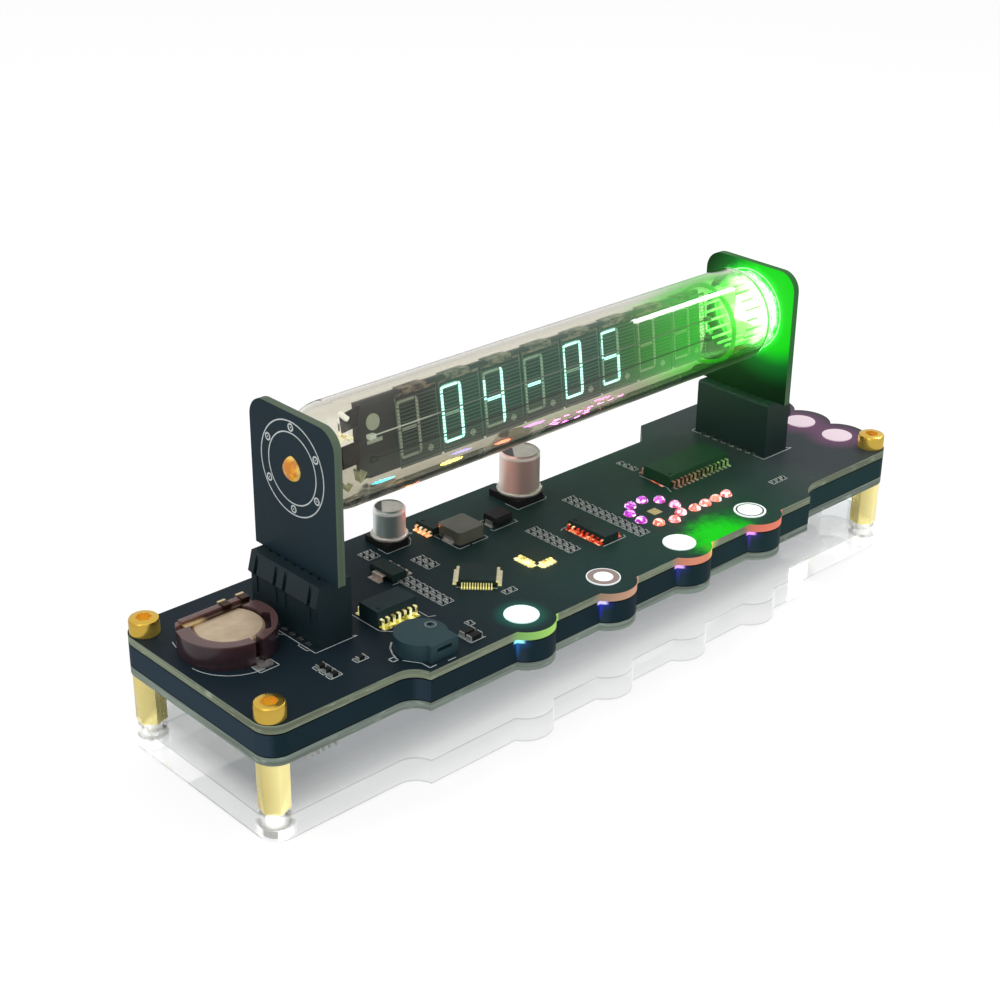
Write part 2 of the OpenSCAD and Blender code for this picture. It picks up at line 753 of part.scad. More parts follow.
// Coin cell holder: round wall, flat back with a bar over it, and a slot in front for the side contact
holder_floor = 1.8;
coin_gap = 0.2;
coin_y = -0.5;
coin_z = holder_floor + 0.4;
coin_top = coin_z + coin_h;
back_flat = 5.6;
back_corner_x = 8;
bar_y = 4.4;
bar_rise = 0.35;
clip_w = 1.3;
clip_t = 0.3;
clip_leg_x = [2.2, 6.1];
slot_x = 0.4;
arm_w = 1.3;
strip_len = 8;
strip_w = 2.4;
side_foot = [3.4, 1.4];

module coin_holder() {
    pocket_r = coin_d / 2 + coin_gap;
    on_board(coin_at) color([0.4, 0.28, 0.24]) difference() {
        union() {
            linear_extrude(holder_h) {
                intersection() {
                    circle(d = holder_d);
                    translate([-holder_d, -holder_d]) square([2 * holder_d, holder_d + back_flat]);
                }
                translate([0, 1.5]) square([back_corner_x, back_flat - 1.5]);
            }
            translate([-6.2, bar_y, holder_h - 1]) cube([6.2 + back_corner_x, back_flat - bar_y, 1 + bar_rise]);
        }
        translate([0, coin_y, holder_floor]) intersection() {
            cylinder(h = holder_h, r = pocket_r);
            translate([-holder_d, -holder_d, -1]) cube([2 * holder_d, holder_d + bar_y - coin_y, holder_h + 2]);
        }
        translate([0, coin_y, holder_floor]) cylinder(h = coin_top - holder_floor + 0.05, r = pocket_r);
        translate([-holder_d, bar_y - clip_w - 0.1, coin_top]) cube([2 * holder_d, clip_w + 0.1, holder_h]);
        translate([slot_x - arm_w / 2 - 0.1, -holder_d, -1]) cube([arm_w + 0.2, holder_d - coin_d / 2 + 0.5, holder_h + 3]);
        translate([0, coin_y, holder_floor + 1]) rotate(-33) translate([pocket_r - 0.1, 0, 0])
            linear_extrude(holder_h) round_rect(1.8, 6, 0.8);
    }
}

// Spring strip under the cell, side arm with its foot, and the clip over the cell with two legs behind the bar
module coin_contacts() {
    clip_z = coin_top + 0.05;
    front = coin_y - coin_d / 2 - coin_gap;
    on_board(coin_at) color("gold") {
        translate([-strip_len / 2, coin_y - strip_w / 2, holder_floor]) cube([strip_len, strip_w, coin_z - holder_floor]);
        translate([slot_x - arm_w / 2, front - 0.45, 0]) cube([arm_w, 0.35, coin_z + 1]);
        translate([slot_x - arm_w / 2, -holder_d / 2 - 0.4, 0]) cube([arm_w, front + holder_d / 2, 0.3]);
        translate([slot_x - side_foot[0] / 2, -holder_d / 2 - 0.3 - side_foot[1], 0])
            cube([side_foot[0], side_foot[1], 0.3]);
        translate([-6.4, bar_y - clip_w, clip_z]) cube([13.2, clip_w - 0.1, clip_t]);
        for (x = clip_leg_x) {
            translate([x, bar_y - 0.5, clip_z + clip_t - eps]) cube([1.6, 0.3, bar_rise + 0.3]);
            translate([x, bar_y - 0.5, holder_h + bar_rise]) cube([1.6, back_flat - bar_y + 1, 0.25]);
            translate([x, back_flat + 0.2, 0]) cube([1.6, 0.3, holder_h + bar_rise + 0.25]);
            translate([x, back_flat + 0.2, 0]) cube([1.6, 2, 0.3]);
        }
    }
}

module coin_cell() {
    on_board(coin_at, 0, z_top + coin_z) color("tan") translate([0, coin_y, 0]) {
        cylinder(h = coin_h - 0.4, d = coin_d);
        translate([0, 0, coin_h - 0.4 - eps]) cylinder(h = 0.4 + eps, d1 = coin_d, d2 = coin_d - 0.8);
    }
}

// Round buzzer with a square block in front, a sound hole in its top and a port in the block
buzzer_block = [6.2, 0.4];
buzzer_block_x = 0.9;
buzzer_hole_at = [2.9, 1];
buzzer_port = [3.3, 1, 0.7];

module buzzer() {
    front = -buzzer_d / 2 - buzzer_block[1];
    on_board(buzzer_at) color([0.2, 0.25, 0.29]) difference() {
        union() {
            cylinder(h = buzzer_h, d = buzzer_d, $fn = 64);
            translate([buzzer_block_x - buzzer_block[0] / 2, front, 0]) cube([buzzer_block[0], -front, buzzer_h]);
        }
        translate([buzzer_hole_at[0], buzzer_hole_at[1], buzzer_h - 0.5]) cylinder(h = 1, d = 0.9);
        translate([buzzer_block_x - buzzer_port[0] / 2, front - 1, buzzer_h / 2])
            cube([buzzer_port[0], 1 + buzzer_port[1], buzzer_port[2]]);
    }
}

// Can capacitors: rolled can in a square foot with two cut corners
can_seat = 0.7;

module cap_can(d, h) {
    bead = 0.45;
    rotate_extrude() difference() {
        translate([0, can_seat]) square([d / 2, h - can_seat]);
        translate([d / 2 + 0.1, 2]) circle(bead);
        translate([d / 2, h]) rotate(45) square(0.5, center = true);
        translate([0, h - 0.15]) square([d / 2 - 0.5, 1]);
    }
}

module cap_base(d) {
    w = d + 0.4;
    difference() {
        linear_extrude(1.4) polygon([[-w / 2, -w / 2], [w / 2 - 1.6, -w / 2], [w / 2, -w / 2 + 1.6],
            [w / 2, w / 2 - 1.6], [w / 2 - 1.6, w / 2], [-w / 2, w / 2]]);
        translate([0, 0, can_seat]) cylinder(h = 2, d = d + 0.1);
    }
}

module small_capacitor_can() { on_board(small_cap_at) color("lightgray") cap_can(small_cap_d, small_cap_h); }
module large_capacitor_can() { on_board(large_cap_at) color("lightgray") cap_can(large_cap_d, large_cap_h); }
module small_capacitor_base() { on_board(small_cap_at) color([0.08, 0.08, 0.09]) cap_base(small_cap_d); }
module large_capacitor_base() { on_board(large_cap_at) color([0.08, 0.08, 0.09]) cap_base(large_cap_d); }

// Moulded inductor between two wrapped end terminals
term_t = 0.25;

module inductor_core() {
    on_board(inductor_at) color([0.33, 0.33, 0.3]) difference() {
        translate([0, 0, term_t]) linear_extrude(inductor_h - term_t) round_rect(inductor_w, inductor_w, 0.7);
        for (s = [-1, 1]) translate([s * inductor_w / 2, 0, 0]) cube([0.6, 3.4, 2.6], center = true);
    }
}

module inductor_terminals() {
    on_board(inductor_at) color("silver") for (s = [0, 1]) mirror([s, 0, 0]) {
        translate([inductor_w / 2 - 2, -1.5, 0]) cube([2.4, 3, term_t]);
        translate([inductor_w / 2 - 0.3, -1.5, term_t - eps]) cube([0.25, 3, 1]);
    }
}

// Rectifier: flat block between folded tabs
module rectifier_body() {
    on_board(rectifier_at) color([0.1, 0.1, 0.11]) chip([4.4, 3.6, 2.1], 0.25);
}

module rectifier_terminals() {
    on_board(rectifier_at) color("silver") for (s = [0, 1]) mirror([s, 0, 0]) {
        translate([1.4, -1, 0]) cube([1.25, 2, 0.2]);
        translate([2.25, -1, 0.2 - eps]) cube([0.2, 2, 1]);
    }
}

// Moulded chip body, its long sides drafted above and below the parting band
band = 0.3;
lead_t = 0.2;
lead_w = 0.42;
lead_pitch = 1.27;

module chip(size, lift = 0.15) {
    draft = 0.15;
    w = size[1] / 2;
    mid = (size[2] + lift) / 2;
    top = size[2];
    translate([-size[0] / 2, 0, 0]) rotate([90, 0, 90]) linear_extrude(size[0])
        polygon([[-w + draft, lift], [w - draft, lift], [w, mid - band / 2], [w, mid + band / 2],
            [w - draft, top], [-w + draft, top], [-w, mid + band / 2], [-w, mid - band / 2]]);
}

// Chip with a round mark by its first lead
module marked_chip(size) {
    difference() {
        chip(size);
        translate([-size[0] / 2 + 1, -size[1] / 2 + 1, size[2] - 0.1]) cylinder(h = 1, d = 0.8, $fn = 24);
    }
}

// Square chip on four sides: two drafted bodies crossed
module square_chip(side, h) {
    intersection() {
        chip([side, side, h]);
        rotate(90) chip([side, side, h]);
    }
}

// One bent lead: flat foot on the board, rise, shoulder against the body's band. It grows towards -y.
module bent_lead(from, to, w, h) {
    mid = (h + 0.15) / 2;
    foot = (to - from) * 0.45;
    rise = to - foot;
    translate([-w / 2, 0, 0]) rotate([90, 0, 90]) linear_extrude(w) polygon([
        [-to, 0], [-rise + lead_t, 0], [-rise + lead_t, mid - lead_t / 2], [-from, mid - lead_t / 2],
        [-from, mid + lead_t / 2], [-rise, mid + lead_t / 2], [-rise, lead_t], [-to, lead_t]]);
}

// Row of leads on the -y side
module lead_row(n, pitch, from, to, w, h) {
    for (i = [0 : n - 1]) translate([(i - (n - 1) / 2) * pitch, 0, 0]) bent_lead(from, to, w, h);
}

module lead_rows(n, pitch, from, to, w, h, sides = 2) {
    for (k = [0 : sides - 1]) rotate(360 * k / sides) lead_row(n, pitch, from, to, w, h);
}

// Voltage regulator with a wide tab on its left
regulator_size = [6.5, 3.5, 1.7];
regulator_reach = 3.5;
regulator_pitch = 2.3;

module regulator_body() {
    on_board(regulator_at, 90) color([0.12, 0.13, 0.14]) chip(regulator_size);
}

module regulator_leads() {
    on_board(regulator_at, 90) color("silver") {
        lead_row(3, regulator_pitch, regulator_size[1] / 2, regulator_reach, 0.7, regulator_size[2]);
        rotate(180) lead_row(1, 0, regulator_size[1] / 2, regulator_reach, 3, regulator_size[2]);
    }
}

// Step-up converter
converter_size = [4.9, 3.9, 1.6];
converter_reach = 3;

module converter_chip() { on_board(converter_at, -90) color([0.12, 0.13, 0.14]) marked_chip(converter_size); }

module converter_leads() {
    on_board(converter_at, -90) color([1, 0.8, 0.6])
        lead_rows(4, lead_pitch, converter_size[1] / 2, converter_reach, lead_w, converter_size[2]);
}

// Clock chip
clock_chip_size = [8.9, 5.3, 3.2];
clock_chip_reach = 4.1;

module clock_chip() { on_board(clock_chip_at) color([0.16, 0.18, 0.2]) marked_chip(clock_chip_size); }

module clock_chip_leads() {
    on_board(clock_chip_at) color("gold")
        lead_rows(7, lead_pitch, clock_chip_size[1] / 2, clock_chip_reach, lead_w, clock_chip_size[2]);
}

// Controller, turned by 45 degrees
controller_side = 7;
controller_h = 1.45;
controller_reach = 4.5;
controller_pitch = 0.5;

module controller_chip() { on_board(controller_at, 45) color([0.12, 0.13, 0.14]) square_chip(controller_side, controller_h); }

module controller_leads() {
    on_board(controller_at, 45) color("gold")
        lead_rows(12, controller_pitch, controller_side / 2, controller_reach, 0.24, controller_h, 4);
}

// Sensor chip, turned by 45 degrees
sensor_side = 5;
sensor_h = 1.2;
sensor_reach = 3.6;
sensor_pitch = 0.8;

module sensor_chip() { on_board(sensor_at, 45) color([0.12, 0.13, 0.14]) square_chip(sensor_side, sensor_h); }

module sensor_leads() {
    on_board(sensor_at, 45) color("gold")
        lead_rows(5, sensor_pitch, sensor_side / 2, sensor_reach, 0.5, sensor_h, 4);
}

// Shift register
register_size = [9.9, 3.9, 1.6];
register_reach = 3;

module register_chip() { on_board(register_at, -90) color([0.12, 0.13, 0.14]) marked_chip(register_size); }

module register_leads() {
    on_board(register_at, -90) color([1, 0.6, 0.5])
        lead_rows(8, lead_pitch, register_size[1] / 2, register_reach, lead_w, register_size[2]);
}

// Tube driver
driver_size = [17.9, 7.5, 2.4];
driver_reach = 5.2;

module driver_chip() { on_board(driver_at) color([0.14, 0.2, 0.19]) marked_chip(driver_size); }

module driver_leads() {
    on_board(driver_at) color("silver")
        lead_rows(14, lead_pitch, driver_size[1] / 2, driver_reach, lead_w, driver_size[2]);
}

// Small chip parts, in blocks of rows and columns: x, y, columns, rows, length, width
chip_blocks = [
    [spread(13), -3.7, 2, 12, 1, 0.5], [spread(-2.1), -4.2, 2, 7, 1, 0.5], [spread(-33.7), -3.3, 2, 7, 1, 0.5],
    [spread(-26.5), 5.2, 2, 3, 1, 0.5], [spread(-32.6), 14.4, 2, 2, 1, 0.5], [spread(-22.2), -13.4, 2, 1, 1, 0.5],
    [spread(33.2), 9.4, 1, 3, 1, 0.5], [spread(51.6), -16, 3, 1, 1, 0.5], [spread(-35.6), -17.4, 1, 1, 1, 0.5],
    [spread(-38.4), -20.8, 1, 2, 2.8, 1.3], [spread(-57.7), -14, 1, 1, 1.7, 0.9],
    [spread(-64.4), -13.4, 1, 3, 1.7, 0.9]];
chip_row_pitch = 1.82;
chip_col_pitch = 1.5;
chip_end = 0.25;

module chip_block(b) {
    for (i = [0 : b[2] - 1], j = [0 : b[3] - 1])
        on_board([b[0] + (i - (b[2] - 1) / 2) * chip_col_pitch, b[1] + (j - (b[3] - 1) / 2) * chip_row_pitch]) children();
}

module chip_bodies() {
    color([0.1, 0.1, 0.1]) for (b = chip_blocks) chip_block(b)
        translate([-b[4] / 2 + chip_end, -b[5] / 2, 0.05]) cube([b[4] - 2 * chip_end, b[5], b[5] * 0.6]);
}

module chip_ends() {
    color("silver") for (b = chip_blocks, s = [0, 1]) chip_block(b) mirror([s, 0, 0])
        translate([b[4] / 2 - chip_end, -b[5] / 2, 0]) cube([chip_end, b[5], b[5] * 0.6 + 0.05]);
}

// White discs of the touch keys, and the lights under them
module at_keys() {
    for (x = front_key_x) translate([x, front_key_y]) children();
    for (y = end_key_y) translate([end_key_x, y]) children();
}

module touch_keys() {
    placed(z_top) color("white") at_keys() cylinder(h = key_t, d = key_d);
}

module key_lights() {
    placed(z_main) color("white") at_keys() {
        translate([-1.6, -1.4, -0.8]) cube([3.2, 2.8, 0.8]);
        translate([-1.2, -1, -1.2]) cube([2.4, 2, 0.4]);
    }
}

// Cut jewel lights: a ring with a short row beside it
module jewel() {
    girdle = 0.5;
    cylinder(h = girdle, d = jewel_d, $fn = 8);
    translate([0, 0, girdle]) cylinder(h = 0.35, d = jewel_d * 0.72, $fn = 8);
}

module jewel_lights() {
    color([1, 0.6, 0.8]) {
        for (i = [0 : jewel_ring_n - 1]) {
            a = jewel_turn + 360 * i / jewel_ring_n;
            on_board(jewel_ring_at + jewel_ring_r * [cos(a), sin(a)], a) jewel();
        }
        for (i = [0 : jewel_row_n - 1]) on_board(jewel_row_at + [i * jewel_pitch, 0]) jewel();
    }
}

base_plate();
base_screws();
standoffs();
lower_board();
spacer_frame();
main_board();
top_screws();
board_link();
service_pins();
usb_shell();
usb_tongue();
left_socket();
right_socket();
left_contacts();
right_contacts();
left_upright();
right_upright();
tube_glass();
tube_leads();
tube_substrate();
lit_segments();
unlit_segments();
control_grids();
filament_wires();
tube_spacers();
getter();
tip_grommet();
tube_light();
coin_holder();
coin_contacts();
coin_cell();
buzzer();
small_capacitor_can();
small_capacitor_base();
large_capacitor_can();
large_capacitor_base();
inductor_core();
inductor_terminals();
rectifier_body();
rectifier_terminals();
regulator_body();
regulator_leads();
converter_chip();
converter_leads();
clock_chip();
clock_chip_leads();
controller_chip();
controller_leads();
sensor_chip();
sensor_leads();
register_chip();
register_leads();
driver_chip();
driver_leads();
chip_bodies();
chip_ends();
touch_keys();
key_lights();
jewel_lights();
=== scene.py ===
"""Finishes, prints, small parts and lights for a desk clock with a vacuum fluorescent tube."""

from math import atan2, cos, pi, radians, sin, tau

import bmesh
import bpy
from mathutils import Matrix, Vector


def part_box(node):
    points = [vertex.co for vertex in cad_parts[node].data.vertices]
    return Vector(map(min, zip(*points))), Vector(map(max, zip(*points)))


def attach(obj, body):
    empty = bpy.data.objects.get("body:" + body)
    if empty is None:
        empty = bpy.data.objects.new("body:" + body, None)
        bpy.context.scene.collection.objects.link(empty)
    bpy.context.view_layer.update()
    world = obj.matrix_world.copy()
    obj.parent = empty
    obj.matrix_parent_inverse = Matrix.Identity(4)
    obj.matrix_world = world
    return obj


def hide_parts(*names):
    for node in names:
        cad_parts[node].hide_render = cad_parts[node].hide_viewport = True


bl_info = {
    "name": "Desk Clock",
    "version": (1, 0, 0),
    "blender": (4, 5, 0),
    "location": "View3D > Sidebar > Clock",
    "description": "Dresses the packed desk clock in its finishes, prints and lights",
    "category": "Object",
}

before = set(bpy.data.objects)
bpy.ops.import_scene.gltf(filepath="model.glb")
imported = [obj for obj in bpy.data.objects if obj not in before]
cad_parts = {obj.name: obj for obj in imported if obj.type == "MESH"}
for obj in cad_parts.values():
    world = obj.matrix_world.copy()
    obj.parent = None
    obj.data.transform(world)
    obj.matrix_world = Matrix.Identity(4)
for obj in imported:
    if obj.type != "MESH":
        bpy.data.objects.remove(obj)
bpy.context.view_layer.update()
MM = 0.001
SINK = 0.01  # how far a print is let into the face it lies on, mm


# Places read from the frame

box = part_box


def middle(node):
    low, high = box(node)
    return (low + high) / 2


def size_mm(node):
    low, high = box(node)
    return (high - low) / MM


def centre_of(points):
    """Mean of some points."""
    return sum(points[1:], points[0]) / len(points)


BOARD_CENTRE = middle("top_screws")
BOARD_TOP = box("main_board")[1].z
BOARD_UNDER = box("main_board")[0].z
LAMP = middle("tube_light")
TUBE_LOW, TUBE_HIGH = box("tube_glass")
TUBE_Z = (TUBE_HIGH.z + TUBE_LOW.z) / 2


def on_board(x, y, z=0.0):
    """A point in the row frame, from millimetres about the middle of the main board's top."""
    return Vector((BOARD_CENTRE.x + x * MM, BOARD_CENTRE.y + y * MM, BOARD_TOP + z * MM))


def board_x(x):
    return on_board(x, 0).x


def board_y(y):
    return on_board(0, y).y


def board_z(z):
    return on_board(0, 0, z).z


def board_xy(point):
    """Place of a point over the board, in millimetres about the board's middle."""
    return Vector(((point[0] - BOARD_CENTRE.x) / MM, (point[1] - BOARD_CENTRE.y) / MM))


def spot(node):
    """Middle of a node in board millimetres."""
    return board_xy(middle(node))


def loose_solids(node):
    """Corner lists of the separate solids of a CAD node, from a merged copy of its mesh."""
    mesh = bmesh.new()
    mesh.from_mesh(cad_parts[node].data)
    bmesh.ops.remove_doubles(mesh, verts=mesh.verts, dist=1e-6)
    seen = set()
    found = []
    for start in mesh.verts:
        if start.index in seen:
            continue
        seen.add(start.index)
        pile, group = [start], []
        while pile:
            vert = pile.pop()
            group.append(vert.co.copy())
            for edge in vert.link_edges:
                other = edge.other_vert(vert)
                if other.index not in seen:
                    seen.add(other.index)
                    pile.append(other)
        found.append(group)
    mesh.free()
    return found


def feet(node, turn=0.0, reach=0.35):
    """Centre and size in board millimetres of each solid's foot, along axes turned by that angle."""
    back = Matrix.Rotation(-turn, 2)
    found = []
    for group in loose_solids(node):
        floor = min(co.z for co in group)
        low = [back @ board_xy(co) for co in group if co.z < floor + reach * MM]
        xs, ys = [co.x for co in low], [co.y for co in low]
        centre = Vector(((min(xs) + max(xs)) / 2, (min(ys) + max(ys)) / 2))
        found.append((Matrix.Rotation(turn, 2) @ centre, Vector((max(xs) - min(xs), max(ys) - min(ys)))))
    return found


def lead_band(node, side):
    """Low and high corner round the feet of the leads on one side of a chip: 0 is its left, 1 its front."""
    rows = feet(node)
    edge = min(at[side] for at, size in rows)
    row = [(at, size) for at, size in rows if at[side] < edge + 0.5]
    low = Vector([min(at[i] - size[i] / 2 for at, size in row) for i in (0, 1)])
    high = Vector([max(at[i] + size[i] / 2 for at, size in row) for i in (0, 1)])
    high[side] += 0.8
    return low, high


def centres(node):
    """Middles of a node's solids, in board millimetres."""
    return [board_xy(centre_of(group)) for group in loose_solids(node)]


def stones():
    """Centres of the jewels: a row of four from its right end, and a ring anticlockwise from the row."""
    found = sorted(centres("jewel_lights"), key=lambda at: -at.x)
    row, ring = found[:4], found[4:]
    hub = centre_of(ring)
    first = min(ring, key=lambda at: (at - row[-1]).length)
    start = atan2(first.y - hub.y, first.x - hub.x)
    ring.sort(key=lambda at: round(atan2(at.y - hub.y, at.x - hub.x) - start, 6) % tau)
    return row, ring


KEYS = sorted((centre for centre, size in feet("touch_keys")), key=lambda at: (at.x > 60, at.x, at.y))
FRONT_KEYS, END_KEYS = KEYS[:4], KEYS[4:]
LOBE_HALF = 4.76  # half length of a lobe where it leaves the straight edge, mm
LOBE_ROOT = -25.3  # the straight front edge between the lobes, mm


# Shader maths

def tone(red, green, blue):
    """Linear colour of a display colour given in 0 to 255."""
    def straight(value):
        value /= 255
        return value / 12.92 if value <= 0.04045 else ((value + 0.055) / 1.055) ** 2.4
    return (straight(red), straight(green), straight(blue), 1.0)


def linear(value):
    """A display colour of three numbers made linear. A link or a linear colour stays as it is."""
    return tone(*value) if isinstance(value, tuple) and len(value) == 3 else value


def faded(colour, share):
    """A colour with each channel cut to a share."""
    return tuple(channel * share for channel in colour)


class Wire:
    """An output socket that takes part in sums."""

    def __init__(self, finish, socket):
        self.finish = finish
        self.socket = socket

    def sum(self, operation, *others):
        values = dict(enumerate((self,) + others))
        return self.finish.node("ShaderNodeMath", {"operation": operation}, values)

    def __add__(self, other):
        return self.sum("ADD", other)

    def __mul__(self, other):
        return self.sum("MULTIPLY", other)

    def __sub__(self, other):
        return self.sum("SUBTRACT", other)

    def __rsub__(self, other):
        return self.finish.node("ShaderNodeMath", {"operation": "SUBTRACT"}, {0: other, 1: self})

    def __truediv__(self, other):
        return self.sum("DIVIDE", other)

    __radd__ = __add__
    __rmul__ = __mul__

    def size(self):
        """This number without its sign."""
        return self.sum("ABSOLUTE")

    def power(self, exponent):
        """This number raised to an exponent."""
        return self.sum("POWER", exponent)


class Finish:
    """A material that is being put together."""

    def __init__(self, name):
        self.material = bpy.data.materials.new(name)
        self.material.use_nodes = True
        self.tree = self.material.node_tree
        self.shader = self.tree.nodes["Principled BSDF"]
        self.place = self.node("ShaderNodeTexCoord", output="Object")
        self.facing = self.node("ShaderNodeTexCoord", output="Normal")

    def node(self, kind, settings=None, values=None, output=0):
        made = self.tree.nodes.new(kind)
        for key, value in (settings or {}).items():
            setattr(made, key, value)
        for key, value in (values or {}).items():
            self.feed(made.inputs[key], value)
        return Wire(self, made.outputs[output])

    def feed(self, socket, value):
        if isinstance(value, Wire):
            self.tree.links.new(value.socket, socket)
        else:
            socket.default_value = value

    def axis(self, index, vector=None):
        """One coordinate of the place, in metres, or of another vector."""
        return self.node("ShaderNodeSeparateXYZ", values={0: vector or self.place}, output=index)

    def noise(self, scale, detail=3.0, roughness=0.55, stretch=None):
        """Noise about 0.5 with so many lumps to the metre, stretched along the axes where told."""
        vector = self.place
        if stretch:
            vector = self.node("ShaderNodeMapping", values={"Vector": vector, "Scale": stretch})
        return self.node("ShaderNodeTexNoise", values={
            "Vector": vector, "Scale": scale, "Detail": detail, "Roughness": roughness})

    def between(self, value, low, high):
        """0 at low, 1 at high, smooth between them."""
        return self.node("ShaderNodeMapRange", {"interpolation_type": "SMOOTHSTEP"}, {
            "Value": value, "From Min": low, "From Max": high, "To Min": 0.0, "To Max": 1.0})

    def span(self, value, low, high, soft):
        """1 from low to high, 0 outside."""
        return self.between(value, low - soft, low + soft) * self.between(value, high + soft, high - soft)

    def far(self, point):
        """Distance to a point, in metres."""
        return self.node("ShaderNodeVectorMath", {"operation": "DISTANCE"},
                         {0: self.place, 1: tuple(point)}, "Value")

    def near(self, point, radius, soft):
        """1 within a radius of a point, 0 outside."""
        return self.between(self.far(point), radius + soft, radius - soft)

    def mix(self, factor, first, second):
        """A colour between two, each of them a link or a display colour of 0 to 255."""
        return self.node("ShaderNodeMix", {"data_type": "RGBA"},
                         {0: factor, 6: linear(first), 7: linear(second)}, 2)

    def bump(self, height, depth, strength=1.0):
        values = {"Height": height, "Distance": depth, "Strength": strength}
        return self.node("ShaderNodeBump", values=values)

    def set(self, **values):
        """Feed the shader: base_color, roughness and so on, with numbers, display colours or links."""
        for key, value in values.items():
            name = SOCKET_NAMES.get(key, key.replace("_", " ").title())
            self.feed(self.shader.inputs[name], linear(value))
        return self.material


SOCKET_NAMES = {"ior": "IOR", "specular": "Specular IOR Level", "transmission": "Transmission Weight"}
finishes = {}


def remembered(maker):
    """Make each material once."""
    def ask(*args):
        key = (maker.__name__,) + args
        if key not in finishes:
            finishes[key] = maker(*args)
        return finishes[key]
    return ask


# Finishes

@remembered
def acrylic():
    """Clear acrylic: pale cut edges with painted light on them, painted light on the front of its top, and
    the boards' painted shadow in it, darker in its left part.
    """
    f = Finish("clear_acrylic")
    haze = f.noise(60.0, 2.0)
    low, high = box("base_plate")
    # The cut side faces, which get painted light as emission.
    side = f.between(f.axis(2, f.facing).size(), 0.7, 0.3)
    side = side * f.span(f.axis(2), low.z + 0.0003, high.z - 0.0003, 0.00012)
    # Painted shadow of the boards above: grey behind the front strip and away from the left edge, darker
    # towards the left.
    from_front = f.between(f.axis(1), board_y(LOBE_ROOT + 1), board_y(LOBE_ROOT + 13))
    from_left = f.between(f.axis(0), low.x + 0.0008, low.x + 0.0055)
    shade = from_front * from_left * f.between(f.axis(2, f.facing).size(), 0.7, 0.9)
    clear = f.mix(haze, (247, 249, 249), (252, 253, 253))
    left = f.between(f.axis(0), board_x(-60), board_x(-72))
    # Painted light on the top along its front edge.
    lit = f.mix(f.between(f.axis(1), board_y(LOBE_ROOT + 7), board_y(LOBE_ROOT + 2)),
                (20, 20, 24), (112, 112, 110))
    return f.set(base_color=f.mix(shade, clear, f.mix(left, (126, 136, 138), (84, 94, 92))),
                 roughness=0.01 + haze * 0.02, transmission=1.0, ior=1.45, alpha=0.5,
                 emission_color=f.mix(side, lit, (186, 187, 186)), emission_strength=1.0)


@remembered
def brass(name, dull, bright):
    """Turned brass: fine marks along its length, a slow change of tone, and painted light that differs by
    face and by post.
    """
    f = Finish(name)
    grain = f.noise(900.0, 4.0, stretch=(1, 1, 0.12))
    wear = f.noise(120.0, 3.0)
    # Painted light by face: on the front posts the faces not turned left are lit brightly, on the rear posts
    # only the left faces are lit.
    side = f.between(f.axis(0, f.facing), -0.5, -0.8)
    rear = f.between(f.axis(1), BOARD_CENTRE.y - 0.005, BOARD_CENTRE.y + 0.005)
    front = f.mix(side, (236, 226, 164), (110, 92, 46))
    back = f.mix(side, (20, 14, 6), (150, 132, 76))
    return f.set(base_color=f.mix(wear, dull, bright), metallic=0.9, roughness=0.2 + grain * 0.16,
                 emission_color=f.mix(rear, front, back), emission_strength=0.5,
                 normal=f.bump(grain, 0.00004, 0.35))


@remembered
def screw_brass(sockets):
    """Brass of the screw heads, with painted warm light at the foot of their sockets and painted light on
    their side faces.
    """
    f = Finish("screw_brass")
    wear = f.noise(120.0, 3.0)
    grain = f.noise(900.0, 4.0, stretch=(1, 1, 0.12))
    glow = (0, 0, 0)
    # Painted warm light pooled at the foot of each socket.
    for foot in sockets:
        pool = f.mix(f.near(foot, 0.0004, 0.0004), (74, 50, 14), (190, 150, 60))
        glow = f.mix(f.near(foot, 0.00165, 0.0001), glow, pool)
    # Painted light on the side faces of the heads and sockets.
    glow = f.mix(f.between(f.axis(2, f.facing), 0.3, 0.1), glow, (96, 84, 36))
    return f.set(base_color=f.mix(wear, (226, 178, 62), (248, 212, 104)), metallic=1.0,
                 roughness=0.18 + grain * 0.14, emission_color=glow, emission_strength=0.7,
                 normal=f.bump(grain, 0.00004, 0.35))


def laminate(f, top, edge):
    """Board colours: top on the faces, the cut laminate on the edges, with its fine layers."""
    edge = linear(edge)
    dark = faded(edge[:3], 0.55) + (1.0,)
    pale = tuple(min(1, channel) for channel in faded(edge[:3], 1.7)) + (1.0,)
    face = f.between(f.axis(2, f.facing).size(), 0.5, 0.8)
    layers = f.noise(700.0, 2.0, stretch=(0.05, 0.05, 2.2))
    fibre = f.noise(900.0, 4.0, stretch=(0.35, 0.35, 1.6))
    cut = f.mix(f.between(layers, 0.35, 0.7), edge, dark)
    cut = f.mix(f.between(fibre, 0.56, 0.72) * 0.6, cut, pale)
    return face, f.mix(face, cut, top)


def lobe_light(f, side, colour, glow):
    """The lights under the front keys on the edges of their lobes, each from one tint to another."""
    tints = (((128, 182, 92), (172, 226, 104)), ((168, 132, 110), (214, 160, 134)),
             ((206, 128, 104), (238, 140, 108)), ((222, 116, 96), (244, 130, 106)))
    x = f.axis(0)
    front = f.between(f.axis(1), board_y(LOBE_ROOT + 0.1), board_y(LOBE_ROOT + 0.02)) * side
    fleck = f.noise(300.0, 4.0)
    for key, (first, last) in zip(FRONT_KEYS, tints):
        start, end = board_x(key.x - LOBE_HALF), board_x(key.x + LOBE_HALF + 0.8)
        here = f.between(x, start - 0.0022, start + 0.0012) * f.between(x, end, end - 0.0004) * front
        tint = f.mix(f.between(x, start, end - 0.002), first, last)
        tint = f.mix(fleck * 0.3, tint, faded(first, 0.75))
        colour = f.mix(here * 0.85, colour, tint)
        glow = f.mix(here * 0.2, glow, tint)
    lime = f.near(on_board(FRONT_KEYS[2].x + 4.2, -26.6, -0.15), 0.0020, 0.0016)
    return colour, f.mix(lime * 0.8, glow, (176, 232, 30))


